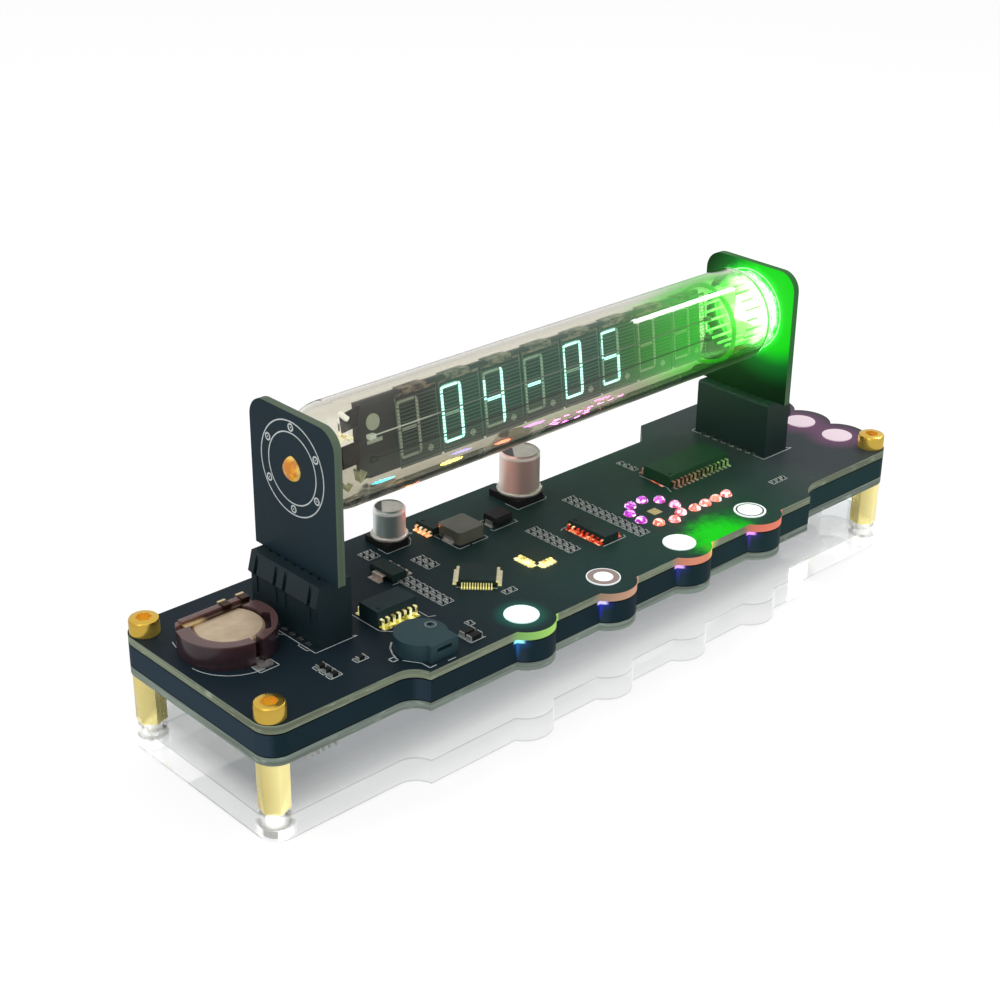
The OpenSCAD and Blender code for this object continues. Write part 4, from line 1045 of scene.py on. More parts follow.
def piece(name, mesh, material, body, replaced=()):
    """Make the mesh an object that rides on a body. Faces marked with index 1 bound a hollow."""
    bmesh.ops.remove_doubles(mesh, verts=mesh.verts, dist=1e-7)
    bmesh.ops.recalc_face_normals(mesh, faces=mesh.faces)
    hollow = [face for face in mesh.faces if face.material_index == 1]
    if hollow:
        bmesh.ops.reverse_faces(mesh, faces=hollow)
        for face in hollow:
            face.material_index = 0
    data = bpy.data.meshes.new(name)
    mesh.to_mesh(data)
    mesh.free()
    data.materials.append(material)
    made = bpy.data.objects.new(name, data)
    bpy.context.scene.collection.objects.link(made)
    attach(made, body)
    if replaced:
        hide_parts(*replaced)
    return made


def smooth(made, angle):
    """Round shading, with edges sharper than the angle kept."""
    made.data.shade_smooth()
    made.data.set_sharp_from_angle(angle=radians(angle))


# Properties

class ClockPrints(bpy.types.PropertyGroup):
    line_width: bpy.props.FloatProperty(
        name="Print line width", description="Width of the white lines printed on the boards",
        default=0.15 * MM, min=0.05 * MM, max=0.4 * MM, unit="LENGTH")
    outer_ring: bpy.props.FloatProperty(
        name="Outer ring", description="Radius of the larger ring printed on an upright",
        default=8.7 * MM, min=7.0 * MM, max=9.2 * MM, unit="LENGTH")
    inner_ring: bpy.props.FloatProperty(
        name="Inner ring", description="Radius of the smaller ring printed on an upright",
        default=6.6 * MM, min=5.0 * MM, max=6.9 * MM, unit="LENGTH")


class ClockLights(bpy.types.PropertyGroup):
    lamp_power: bpy.props.FloatProperty(
        name="Lamp power", description="Power of the green light at the right end of the tube",
        default=0.004, min=0.0, max=1.0, unit="POWER")
    lamp_colour: bpy.props.FloatVectorProperty(
        name="Lamp colour", description="Colour of the light at the right end of the tube",
        default=tone(40, 255, 60)[:3], subtype="COLOR", size=3, min=0.0, max=1.0)
    part_power: bpy.props.FloatProperty(
        name="Part light power", description="Power of one small light over a lit part of the board",
        default=0.0007, min=0.0, max=0.1, unit="POWER")
    key_power: bpy.props.FloatProperty(
        name="Softbox power", description="Power of the large softbox",
        default=1.6, min=0.0, max=50.0, unit="POWER")
    bloom: bpy.props.FloatProperty(
        name="Bloom", description="Strength of the soft light that spreads round bright parts",
        default=0.42, min=0.0, max=2.0)


# Stage and camera

CAMERA_TURN, CAMERA_RISE, CAMERA_ROLL = radians(-43.26), radians(26.07), radians(0.72)
CAMERA_AWAY = 0.3601  # from the point aimed at to the lens, m
CAMERA_SHIFT = 0.0088  # of the lens to the left and up, m
AIM_HEIGHT = 19.35 * MM  # of the point aimed at over the floor
FOCAL_LENGTH = 66.06  # on a film 36 mm wide


class CLOCK_OT_stage(bpy.types.Operator):
    """Set up the floor, the white surroundings, the lights and the camera"""
    bl_idname = "clock.stage"
    bl_label = "Stage"

    def floor(self, scene):
        """A wide white floor, a hair below the clock's foot."""
        mesh = bmesh.new()
        bmesh.ops.create_grid(mesh, x_segments=2, y_segments=2, size=6.0,
                              matrix=Matrix.Translation((0, 0, -0.0002)))
        data = bpy.data.meshes.new("studio_floor")
        mesh.to_mesh(data)
        mesh.free()
        data.materials.append(floor_white())
        made = bpy.data.objects.new("studio_floor", data)
        scene.collection.objects.link(made)

    def surroundings(self, scene):
        """A soft white that lights the clock, and a brighter one behind it in the picture."""
        scene.world = bpy.data.worlds.new("studio_white")
        scene.world.use_nodes = True
        nodes, links = scene.world.node_tree.nodes, scene.world.node_tree.links
        nodes.clear()
        ray = nodes.new("ShaderNodeLightPath")
        choose = nodes.new("ShaderNodeMixShader")
        out = nodes.new("ShaderNodeOutputWorld")
        for place, colour, strength in ((1, (1.0, 0.99, 0.975, 1.0), 0.75), (2, (1.0, 1.0, 1.0, 1.0), 1.0)):
            shade = nodes.new("ShaderNodeBackground")
            shade.inputs["Color"].default_value = colour
            shade.inputs["Strength"].default_value = strength
            links.new(shade.outputs[0], choose.inputs[place])
        links.new(ray.outputs["Is Camera Ray"], choose.inputs[0])
        links.new(choose.outputs[0], out.inputs["Surface"])

    def add_light(self, name, kind, power, colour, place, **values):
        """A light with its power, colour, place and other values."""
        data = bpy.data.lights.new(name, kind)
        data.energy, data.color = power, colour
        for key, value in values.items():
            setattr(data, key, value)
        made = bpy.data.objects.new(name, data)
        made.matrix_world = place
        bpy.context.scene.collection.objects.link(made)
        return made

    def softbox(self, name, at, aim, size, power):
        """A rectangular light at a point, aimed at another."""
        turn = (Vector(at) - Vector(aim)).to_track_quat("Z", "Y").to_matrix().to_4x4()
        self.add_light(name, "AREA", power, (1, 1, 1), Matrix.Translation(at) @ turn,
                       shape="RECTANGLE", size=size[0], size_y=size[1])

    def board_lights(self, power):
        """Small upward lights over the lit parts of the board, which the tube mirrors along its foot."""
        # Place, height and width in millimetres, colour, and share of the power
        lit = [(FRONT_KEYS[0], 0.4, 6.0, (30, 200, 214), 3.6),
               (FRONT_KEYS[1], 0.4, 5.4, (120, 100, 240), 2.4),
               (FRONT_KEYS[2], 0.4, 6.0, (214, 90, 235), 3.0),
               (FRONT_KEYS[3], 0.4, 5.0, (240, 90, 190), 2.0),
               (spot("converter_chip") - Vector((0.6, 1)), 1.6, 4.0, (255, 110, 60), 4.0),
               ((-12, -10.4), 1.4, 6.0, (236, 214, 90), 3.2),
               ((2.2, -10.3), 1.6, 5.0, (250, 96, 66), 2.6)]
        lit += [(at, 1.1, 2.0, (235, 84, 176), 0.8) for at in centres("jewel_lights")]
        for number, (at, height, size, colour, share) in enumerate(lit):
            place = Matrix.Translation(on_board(*at, height)) @ Matrix.Rotation(pi, 4, "X")
            lamp = self.add_light(f"board_light_{number}", "AREA", power * share, tone(*colour)[:3], place,
                                  shape="DISK", size=size * MM, spread=radians(120))
            lamp.visible_camera = False
            lamp.visible_transmission = False

    def camera(self, scene):
        """The camera at the photo's angle, turned a little about its own axis."""
        back = Vector((sin(CAMERA_TURN) * cos(CAMERA_RISE), -cos(CAMERA_TURN) * cos(CAMERA_RISE),
                       sin(CAMERA_RISE)))
        right = Vector((cos(CAMERA_TURN), sin(CAMERA_TURN), 0))
        up = back.cross(right)
        right, up = (cos(CAMERA_ROLL) * right + sin(CAMERA_ROLL) * up,
                     cos(CAMERA_ROLL) * up - sin(CAMERA_ROLL) * right)
        aim = Vector((BOARD_CENTRE.x, BOARD_CENTRE.y, AIM_HEIGHT))
        eye = aim + back * CAMERA_AWAY + (up - right) * CAMERA_SHIFT
        lens = bpy.data.cameras.new("photo_camera")
        lens.sensor_width = 36.0
        lens.lens = FOCAL_LENGTH
        lens.clip_start = 0.01
        made = bpy.data.objects.new("photo_camera", lens)
        made.matrix_world = Matrix.Translation(eye) @ Matrix((right, up, back)).transposed().to_4x4()
        scene.collection.objects.link(made)
        scene.camera = made

    def bloom(self, scene, strength):
        """Soft light that spreads round the bright parts of the picture."""
        scene.view_settings.view_transform = "Standard"
        scene.view_settings.look = "None"
        scene.use_nodes = True
        nodes, links = scene.node_tree.nodes, scene.node_tree.links
        nodes.clear()
        layers = nodes.new("CompositorNodeRLayers")
        glare = nodes.new("CompositorNodeGlare")
        glare.glare_type = "BLOOM"
        glare.quality = "HIGH"
        for name, value in (("Threshold", 1.15), ("Strength", strength), ("Size", 0.35)):
            glare.inputs[name].default_value = value
        out = nodes.new("CompositorNodeComposite")
        links.new(layers.outputs["Image"], glare.inputs["Image"])
        links.new(glare.outputs["Image"], out.inputs["Image"])

    def execute(self, context):
        scene, lights = context.scene, context.scene.clock_lights
        self.floor(scene)
        self.surroundings(scene)
        power = lights.key_power
        self.softbox("softbox_above", (-0.15, -0.1, 0.75), (0, 0, 0.03), (0.7, 0.5), power)
        self.softbox("softbox_left", (-0.75, -0.25, 0.35), (0, 0, 0.03), (0.35, 0.5), power * 0.35)
        self.softbox("softbox_strip", (0.309, 0.012, 0.305), (0.045, 0.003, 0.06), (0.048, 0.056),
                     power * 0.17)
        self.board_lights(lights.part_power)
        self.add_light("lamp_glow", "POINT", lights.lamp_power, lights.lamp_colour,
                       Matrix.Translation(LAMP + Vector((-0.0035, 0, 0))), shadow_soft_size=0.002)
        self.camera(scene)
        self.bloom(scene, lights.bloom)
        return {"FINISHED"}


# The clock's parts

class CLOCK_OT_base(bpy.types.Operator):
    """Finish the clear base, the standoffs and the screws"""
    bl_idname = "clock.base"
    bl_label = "Base and Hardware"

    def screw_heads(self):
        """Round heads with a softened rim and a six-sided socket."""
        low, high = box("top_screws")
        shank_r, head_r, socket_r, socket_depth = 1.5, 2.75, 1.5, 1.2
        head_h = (high.z - BOARD_TOP) / MM
        stages = [(shank_r, (low.z - BOARD_TOP) / MM), (shank_r, 0.0), (head_r - 0.1, 0.0), (head_r, 0.1),
                  (head_r, head_h - 0.5), (head_r - 0.14, head_h - 0.16), (head_r - 0.48, head_h)]
        heads = bmesh.new()
        screws = loose_solids("top_screws")
        for group in screws:
            centre = centre_of(group)
            at = place_mm((centre.x, centre.y, BOARD_TOP))
            rims = [loop(heads, at, radius, height, 48) for radius, height in stages]
            for lower, upper in zip(rims, rims[1:]):
                bmesh.ops.bridge_loops(heads, edges=lower + upper)
            mouth = loop(heads, at, socket_r, head_h, 6)
            floor = loop(heads, at, socket_r, head_h - socket_depth, 6)
            bmesh.ops.bridge_loops(heads, edges=mouth + floor)
            bmesh.ops.triangle_fill(heads, use_beauty=True, edges=rims[-1] + mouth)
            for rim in (rims[0], floor):
                bmesh.ops.edgeloop_fill(heads, edges=rim)
        middles = [centre_of(group) for group in screws]
        gold = screw_brass(tuple((at.x, at.y, high.z - 0.9 * MM) for at in middles))
        smooth(piece("screw_heads", heads, gold, "base", ["top_screws"]), 34)

    def posts(self):
        """Six-sided posts 5 mm across their flats."""
        low, high = box("standoffs")
        corner_r = 2.887
        posts = bmesh.new()
        for group in loose_solids("standoffs"):
            centre = centre_of(group)
            at = place_mm((centre.x, centre.y, (low.z + high.z) / 2), radians(47), "Z")
            post = bmesh.ops.create_cone(posts, cap_ends=True, segments=6, radius1=corner_r,
                                         radius2=corner_r, depth=(high.z - low.z) / MM, matrix=at)
            bevelled(posts, post["verts"], 0.22, 2)
        pale = brass("standoff_brass", (246, 226, 130), (255, 244, 178))
        smooth(piece("hex_posts", posts, pale, "base", ["standoffs"]), 25)

    def execute(self, context):
        dress(acrylic(), "base_plate")
        steel = plated("base_screw_steel", (206, 206, 200), (236, 236, 232), 0.25, (120, 120, 118), 0.3)
        dress(steel, "base_screws")
        self.screw_heads()
        self.posts()
        return {"FINISHED"}


class CLOCK_OT_boards(bpy.types.Operator):
    """Finish the two boards, the frame between them and the parts inside it"""
    bl_idname = "clock.boards"
    bl_label = "Board Stack"

    def execute(self, context):
        dress(main_board_finish(), "main_board")
        dress(lower_board_finish(), "lower_board")
        dress(spacer_finish(), "spacer_frame")
        dress(black_plastic("link_plastic", (26, 27, 30), 0.4), "board_link")
        dress(plated("pin_tin", (150, 152, 150), (215, 218, 216), 0.25, (60, 60, 60), 0.2), "service_pins")
        dress(plated("inlet_shell", (150, 152, 154), (212, 214, 216), 0.2, (30, 30, 30), 0.1), "usb_shell")
        dress(black_plastic("inlet_plastic", (22, 22, 24), 0.4), "usb_tongue")
        return {"FINISHED"}


class CLOCK_OT_board_print(bpy.types.Operator):
    """Print the white outlines on the main board and lay the tinned pads"""
    bl_idname = "clock.board_print"
    bl_label = "Board Print and Pads"

    def socket_marks(self, ink, width):
        """Frames open to the right round the sockets: the left one has catches, the right one ticks."""
        for node in ("left_socket", "right_socket"):
            at = spot(node)
            x, y = 4.6, size_mm(node).y / 2 + 0.5
            ink.line([(x - 1.2, 1.0 - y), (x, -y), (-x, -y), (-x, y), (x, y), (x - 1.2, y - 1.0)], width, at)
            if node == "left_socket":
                for low in (1.6 - y, 9.0 - y):
                    ink.line([(-x, low), (-x - 0.6, low), (-x - 0.6, low + 2.6), (-x, low + 2.6)], width, at)
            else:
                for i in range(-3, 4):
                    ink.line([(-x, i * 2.3 + 1.1), (0.8 - x, i * 2.3 + 1.1)], width * 0.8, at)

    def cell_marks(self, ink, width):
        """An arc in front of the coin cell's holder, and two marks beside it."""
        radius = size_mm("coin_holder").x / 2 + 0.3
        ink.ring(spot("coin_holder"), radius, width, radians(185), radians(85), 32)
        ink.line([(-78.5, 12.0), (-79.0, 10.1), (-78.4, 8.4)], width)
        ink.outline((-71.2, -5.1), (4.0, 2.6), width)

    def power_marks(self, ink, width):
        """Corners, arcs and plus signs round the capacitors, and a broken frame round the inductor."""
        for node, extra in (("small_capacitor_base", 0.35), ("large_capacitor_base", 0.4)):
            at, half = spot(node), size_mm(node).x / 2 + extra
            ink.line([(-half, -1), (-half, -half), (half - 1.7, -half), (half - 0.9, 0.8 - half)], width, at)
            ink.ring(at, half + 0.35, width, radians(-38), radians(74), 20)
            ink.line([(half + 1.0, 0), (half + 1.9, 0)], width, at)
            ink.line([(half + 1.45, -0.45), (half + 1.45, 0.45)], width, at)
        at, half = spot("inductor_core"), size_mm("inductor_core").x / 2 + 0.5
        ink.line([(-half, 1), (-half, -half), (2.6 - half, -half)], width, at)
        ink.line([(3.4 - half, -half), (half, -half), (half, 1.2 - half)], width, at)
        ink.line([(-half, 2), (-half, half), (half, half)], width, at)

    def chip_marks(self, ink, width):
        """Lines beside the chips and the buzzer, in millimetres about the middle of each."""
        paths = {
            "rectifier_body": [[(-3.2, -1.4), (-3.2, -2.3), (3.2, -2.3), (3.2, -1.4)],
                               [(-3.6, 1.4), (-3.6, 2.5), (3.2, 2.5)]],
            "regulator_body": [[(-1.9, -3.7), (1.9, -3.7), (1.9, -2.9)], [(1.9, -1.6), (1.9, -0.8)],
                               [(1.9, 0.8), (1.9, 1.6)], [(1.9, 3.2), (1.9, 4.0)]],
            "clock_chip": [[(-4.8, 4.4), (-4.8, -3.4), (-3.3, -5.1), (-2.4, -5.1)],
                           [(4.9, -5.3), (4.9, -2.8)], [(4.9, -5.3), (6.1, -5.9)]],
            "buzzer": [[(-5.1, -1.0), (-3.3, -3.8), (-3.2, -5.9), (-1.8, -5.9)], [(0.7, -6.2), (2.3, -6.2)]],
            "driver_chip": [[(-9.3, 4.4), (-9.3, -3.2), (-10.2, -5.2)]],
            "register_chip": [[(-2.5, -5.3), (3.6, -5.3), (3.9, -4.5)],
                              [(-3.9, 4.9), (-3.2, 5.3), (1.9, 5.3)]],
        }
        for node, lines in paths.items():
            for points in lines:
                ink.line(points, width, spot(node))
        buzzer = spot("buzzer")
        ink.line([(-2.7, 4.9), (-4.1, 3.6), (-5.0, 1.9), (-5.3, 0.9)], width * 2, buzzer)
        ink.outline(buzzer + Vector((-6.1, 0.3)), (1.2, 1.2), width * 1.6)
        turned = Matrix.Rotation(radians(45), 2)
        half = size_mm("controller_chip").x / 2 ** 1.5 + 0.25
        for way in (-1, 1):
            ink.line([turned @ Vector((way * half, side * half)) for side in (1, -1)], width,
                     spot("controller_chip"))

    def part_marks(self, ink, width):
        """Frames round the small parts: closed round short ones, and a corner beside long ones."""
        for at, group in zip(centres("chip_bodies"), loose_solids("chip_bodies")):
            wide = (max(co.x for co in group) - min(co.x for co in group)) / MM + 0.5
            if wide < 1.4:
                ink.outline(at, (1.38, 1.5), width * 0.9)
            elif wide > 2.4:
                reach = wide / 2 + 0.3
                ink.line([(-reach, -1.0), (reach, -1.0)], width, at)
                ink.line([(-reach, -1.0), (-reach, 0.7)], width, at)
            else:
                ink.outline(at, (2.6, 1.45), width)

    def pads(self):
        """A tinned pad round the foot of each lead."""
        pads = Drawing(BOARD_FACE, 0.05)
        contacts = ("left_contacts", "right_contacts")
        leads = ("chip_ends", "regulator_leads", "converter_leads", "clock_chip_leads", "register_leads",
                 "driver_leads", "inductor_terminals", "rectifier_terminals")
        for node in leads + contacts:
            for at, size in feet(node, 0.0, 0.1 if node in contacts else 0.35):
                grow = 0.22 if size.x + size.y > 1.2 else 0.16
                pads.block(at, (min(size.x, 2.6) + grow, min(size.y, 4.0) + grow))
        for at, size in feet("controller_leads", radians(45)):
            pads.block(at, (size.x + 0.12, size.y + 0.12), radians(45))
        piece("solder_pads", pads.mesh, solder_pads(), "base")

    def execute(self, context):
        width = context.scene.clock_prints.line_width / MM
        ink = Drawing(BOARD_FACE)
        for marks in (self.socket_marks, self.cell_marks, self.power_marks, self.chip_marks, self.part_marks):
            marks(ink, width)
        piece("board_print", ink.mesh, print_ink(), "base")
        self.pads()
        return {"FINISHED"}


class CLOCK_OT_sockets(bpy.types.Operator):
    """Finish the two sockets and their contacts"""
    bl_idname = "clock.sockets"
    bl_label = "Sockets"

    def execute(self, context):
        dress(black_plastic("socket_plastic", (24, 44, 50), 0.42), "left_socket", "right_socket")
        tin = plated("contact_tin", (70, 72, 74), (150, 154, 156), 0.3, (20, 22, 24), 0.2)
        dress(tin, "left_contacts", "right_contacts")
        return {"FINISHED"}


class CLOCK_OT_uprights(bpy.types.Operator):
    """Finish the two uprights with their ring prints"""
    bl_idname = "clock.uprights"
    bl_label = "Uprights"

    def ring_print(self, prints, ink):
        """Two rings with six small ringed dots between them, on one face of an upright."""
        outer, inner = prints.outer_ring / MM, prints.inner_ring / MM
        for radius in (outer, inner):
            ink.ring((0, 0), radius, 0.24, steps=96)
        between = (outer + inner) / 2
        for i in range(6):
            at = (between * cos(radians(60 * i)), between * sin(radians(60 * i)))
            ink.ring(at, 0.62, 0.3, steps=20)
            ink.disc(at, 0.16, 12)

    def seal(self, axis):
        """The amber seal: a shallow dome that narrows upwards like an egg."""
        low, high = box("tip_grommet")
        radius, depth = 2.3, (high.x - low.x) / MM
        proud = (box("left_upright")[0].x - low.x) / MM
        crown = min((TUBE_LOW.x - low.x) / MM - 0.3, proud - 0.9)
        rise = proud - crown
        dome = [(radius * sin(radians(9 * i)), proud - rise * cos(radians(9 * i))) for i in range(11)]
        mesh = bmesh.new()
        spun(mesh, dome + [(radius, depth), (0, depth)], place_mm((low.x, axis.y, axis.z), pi / 2), 48)
        for vert in mesh.verts:
            lift = max(0.0, vert.co.z - axis.z) / (radius * MM)
            vert.co.y = axis.y + (vert.co.y - axis.y) * (1 - 0.3 * lift)
        smooth(piece("amber_seal", mesh, amber_rubber(), "display", ["tip_grommet"]), 50)

    def execute(self, context):
        axis = middle("tip_grommet")
        for side, lit in (("left", False), ("right", True)):
            node = side + "_upright"
            dress(upright_finish(lit), node)
            low, high = box(node)
            for name, x, way in (("outer", low.x, -1), ("inner", high.x, 1)):
                ink = Drawing(place_mm((x, axis.y, axis.z), way * pi / 2))
                self.ring_print(context.scene.clock_prints, ink)
                piece(f"{node}_{name}_print", ink.mesh, print_ink(lit), "display")
        joints = Drawing(place_mm((box("right_upright")[1].x, axis.y, axis.z), pi / 2), 0.15)
        for group in loose_solids("tube_leads"):
            centre = centre_of(group)
            joints.disc(((axis.z - centre.z) / MM, (centre.y - axis.y) / MM), 0.62, 12)
        piece("lead_solder", joints.mesh, solder_pads(), "display")
        self.seal(axis)
        return {"FINISHED"}


SHIELDS = (  # middle x and z, width and height in board millimetres, and lean in degrees
    (-47.0, 36.2, 3.6, 3.4, 8), (-45.4, 37.2, 1.4, 2.2, -12), (-46.6, 29.7, 4.2, 4.4, 3))
STRAPS = (  # start, end, width and thickness in board millimetres
    ((-49.4, 0.5, 38.3), (-47.9, 0.5, 36.9), 1.0, 0.8), ((-49.2, 1.2, 37.2), (-49.0, 1.2, 34.0), 0.3, 0.25),
    ((-48.2, 1.2, 36.8), (-48.2, 1.2, 34.2), 0.3, 0.25), ((-50.0, 0.5, 33.2), (-48.7, 0.5, 34.2), 1.1, 0.7),
    ((-48.8, 0.3, 34.3), (-47.1, 0.3, 33.2), 1.0, 0.9), ((-49.2, 0.9, 25.4), (-48.0, 0.9, 23.4), 1.4, 0.3),
    ((-48.0, 0.9, 23.5), (-47.0, 0.9, 24.4), 1.4, 0.3), ((-46.9, -0.6, 27.6), (-46.4, -0.6, 25.2), 1.6, 0.35),
    ((-46.3, -0.6, 25.3), (-45.2, -0.6, 26.9), 1.6, 0.35))


class CLOCK_OT_tube(bpy.types.Operator):
    """Finish the glass and everything inside it"""
    bl_idname = "clock.tube"
    bl_label = "Display Tube"

    def envelope(self):
        """The glass: a wide dome drawn into a tip on the left, a flatter end on the right, and a hollow."""
        start = box("left_upright")[1].x + 0.4 * MM
        length, radius, wall = (TUBE_HIGH.x - start) / MM, (TUBE_HIGH.z - TUBE_LOW.z) / 2 / MM, 1.0
        tip, tip_r, dome, heel = (TUBE_LOW.x - start) / MM, 1.3, 7.0, 3.0
        dome_at, heel_at = (radius - dome, dome), (radius - heel, length - heel)
        outer = ([(0, tip)] + curve((0, tip + tip_r), tip_r, -80, 0, 5) + [(tip_r, -0.3), (1.6, 0.0)]
                 + curve(dome_at, dome, -86, 0, 10) + curve(heel_at, heel, 0, 90, 8) + [(0, length)])
        inner = ([(0, wall)] + curve(dome_at, dome - wall, -90, 0, 10) + curve(heel_at, heel - wall, 0, 90, 8)
                 + [(0, length - wall)])
        onto = place_mm((start, LAMP.y, TUBE_Z), pi / 2)
        shell = bmesh.new()
        spun(shell, outer, onto, 96)
        outside = set(shell.faces)
        spun(shell, inner, onto, 96)
        for face in set(shell.faces) - outside:
            face.material_index = 1
        smooth(piece("glass_envelope", shell, glass(), "display", ["tube_glass"]), 60)

    def grids(self):
        """Framed grids of fine wires in front of the digits, on the leaning plane of the substrate."""
        corners = {(round(co.y, 6), round(co.z, 6)) for co in loose_solids("tube_substrate")[0]}
        foot, *others = sorted(corners, key=lambda corner: corner[1])
        sides = sorted((Vector(other) - Vector(foot) for other in others), key=lambda way: way.length)
        plane = place_mm((0, LAMP.y, TUBE_Z), -atan2(sides[1].x, sides[1].y), "X")
        back = plane.inverted()
        mesh = bmesh.new()

        def bar(low, high):
            low, high = Vector(low), Vector(high)
            place = Matrix.Translation((low + high) / 2) @ Matrix.Diagonal((*(high - low), 1))
            bmesh.ops.create_cube(mesh, size=1.0, matrix=plane @ place)

        post, deep, rail, sill, spaces, tab = 0.16, 0.15, 0.45, 0.3, 19, 2.8
        for group in loose_solids("control_grids"):
            local = [back @ co for co in group]
            x0, x1 = min(co.x for co in local), max(co.x for co in local)
            y0, y1 = min(co.y for co in local), max(co.y for co in local)
            top = max(co.z for co in local)
            half = top - 0.65
            for x in (x0, x1 - post):
                bar((x, y0, -half), (x + post, y0 + deep, half))
            bar((x0, y0, half - rail), (x1, y0 + deep, half))
            bar((x0, y0, -half), (x1, y0 + deep, sill - half))
            for i in range(1, spaces):
                z = -half + sill + (2 * half - rail - sill) * i / spaces
                bar((x0 + 0.14, y0 + 0.04, z - 0.055), (x1 - 0.14, y0 + 0.11, z + 0.055))
            x = (x0 + x1) / 2
            bar((x - tab, y0, half - 0.05), (x + tab, y0 + deep, top))
            bar((x - tab, y0, top - 0.2), (x + tab, y1, top))
        piece("grid_meshes", mesh, grid_finish(), "display", ["control_grids"])

    def shields(self):
        """Dark shields at the left end of the substrate."""
        shields = Drawing(place_mm(on_board(0, 1.4), pi / 2, "X"))
        for x, z, wide, tall, lean in SHIELDS:
            verts = shields.block((x, z), (wide, tall), radians(lean), 0.0, 0.4)
            bevelled(shields.mesh, verts, 0.15)
        dark = lit_metal("spacer_mica", (12, 13, 13), (62, 56, 50), 0.25)
        piece("getter_shields", shields.mesh, dark, "display")

    def end_ring(self):
        """The open ring round the lamp end of the substrate."""
        right = max(loose_solids("tube_spacers"), key=lambda group: group[0].x)
        radius = (max(co.z for co in right) - TUBE_Z) / MM
        ring = bmesh.new()
        onto = place_mm((min(co.x for co in right), LAMP.y, TUBE_Z), pi / 2)
        hoop(ring, radius - 0.8, radius, 0.5, onto, 96)
        # Its yellow-green colour is painted light from the lamp.
        mica = lit_metal("lit_mica", (120, 170, 30), (226, 214, 60), 0.4)
        smooth(piece("end_rings", ring, mica, "display", ["tube_spacers"]), 40)

    def getter(self):
        """The getter on its straps, beside the shields."""
        parts = bmesh.new()
        for start, end, wide, thick in STRAPS:
            start, end = on_board(*start), on_board(*end)
            way = end - start
            place = (Matrix.Translation((start + end) / 2) @ Matrix.Rotation(atan2(way.x, way.z), 4, "Y")
                     @ Matrix.Diagonal((thick * MM, wide * MM, way.length, 1)))
            bevelled(parts, bmesh.ops.create_cube(parts, size=1.0, matrix=place)["verts"], thick * 0.2)
        hoop(parts, 2.3, 3.0, 0.6, place_mm(on_board(-50.6, 2.7, 31.2), pi / 2), 48)
        piece("getter_parts", parts, getter_metal(), "display", ["getter"])

    def execute(self, context):
        self.envelope()
        self.grids()
        self.shields()
        self.end_ring()
        self.getter()
        dress(substrate_finish(), "tube_substrate")
        dress(phosphor(True), "lit_segments")
        dress(phosphor(False), "unlit_segments")
        dress(heater_wire(), "filament_wires")
        dress(lamp_wire(), "tube_leads")
        dress(lamp_finish(), "tube_light")
        return {"FINISHED"}


class CLOCK_OT_coin_cell(bpy.types.Operator):
    """Finish the coin cell, its holder and its contacts"""
    bl_idname = "clock.coin_cell"
    bl_label = "Coin Cell"

    def execute(self, context):
        dress(smoky_plastic(), "coin_holder")
        dress(cell_steel(), "coin_cell")
        dress(cell_contacts(), "coin_contacts")
        return {"FINISHED"}


class CLOCK_OT_power_parts(bpy.types.Operator):
    """Finish the capacitors, the inductor, the rectifier and the buzzer"""
    bl_idname = "clock.power_parts"
    bl_label = "Power Parts"

    def beads(self):
        """The rolled bead round the foot of each can."""
        beads = bmesh.new()
        for size in ("small", "large"):
            can = middle(size + "_capacitor_can")
            radius = size_mm(size + "_capacitor_can").x / 2
            foot = place_mm((can.x, can.y, box(size + "_capacitor_base")[1].z))
            lip = curve((radius + 0.12, 0.42), 0.42, -40, 90, 6)
            spun(beads, [(radius - 0.2, 0.0), (radius + 0.3, 0.0)] + lip
                 + [(radius - 0.2, 0.95), (radius - 0.2, 0.0)], foot, 48)
        silver = plated("can_bead", (170, 164, 156), (224, 220, 212), 0.3, (120, 116, 110), 0.2)
        smooth(piece("can_beads", beads, silver, "base"), 50)

    def execute(self, context):
        # Side tones of each can: painted light and shade round it.
        painted_side_tones = {"small_capacitor_can": ((216, 220, 214), (126, 138, 134), (84, 98, 95), (196, 166, 158)),
                  "large_capacitor_can": ((222, 210, 200), (214, 166, 152), (142, 116, 108), (150, 138, 128))}
        for node, four in painted_side_tones.items():
            dress(can_aluminium(node, four), node)
        self.beads()
        foot = black_plastic("capacitor_foot", (22, 23, 25), 0.4)
        dress(foot, "small_capacitor_base", "large_capacitor_base")
        dress(ferrite(), "inductor_core")
        tin = plated("terminal_tin", (150, 150, 146), (226, 226, 222), 0.22, (70, 70, 68), 0.2)
        dress(tin, "inductor_terminals", "rectifier_terminals")
        dress(chip_plastic("rectifier_plastic", (30, 32, 34)), "rectifier_body")
        dress(black_plastic("buzzer_plastic", (38, 68, 76), 0.45), "buzzer")
        # A pale grey ring on the top of the buzzer.
        mark = Drawing(Matrix.Translation((0, 0, box("buzzer")[1].z - BOARD_TOP)) @ BOARD_FACE, 0.02)
        mark.ring(spot("buzzer") + Vector((2.9, 1.0)), 0.95, 0.3, steps=32)
        piece("buzzer_mark", mark.mesh, black_plastic("worn_mark", (128, 138, 138), 0.5), "base")
        return {"FINISHED"}


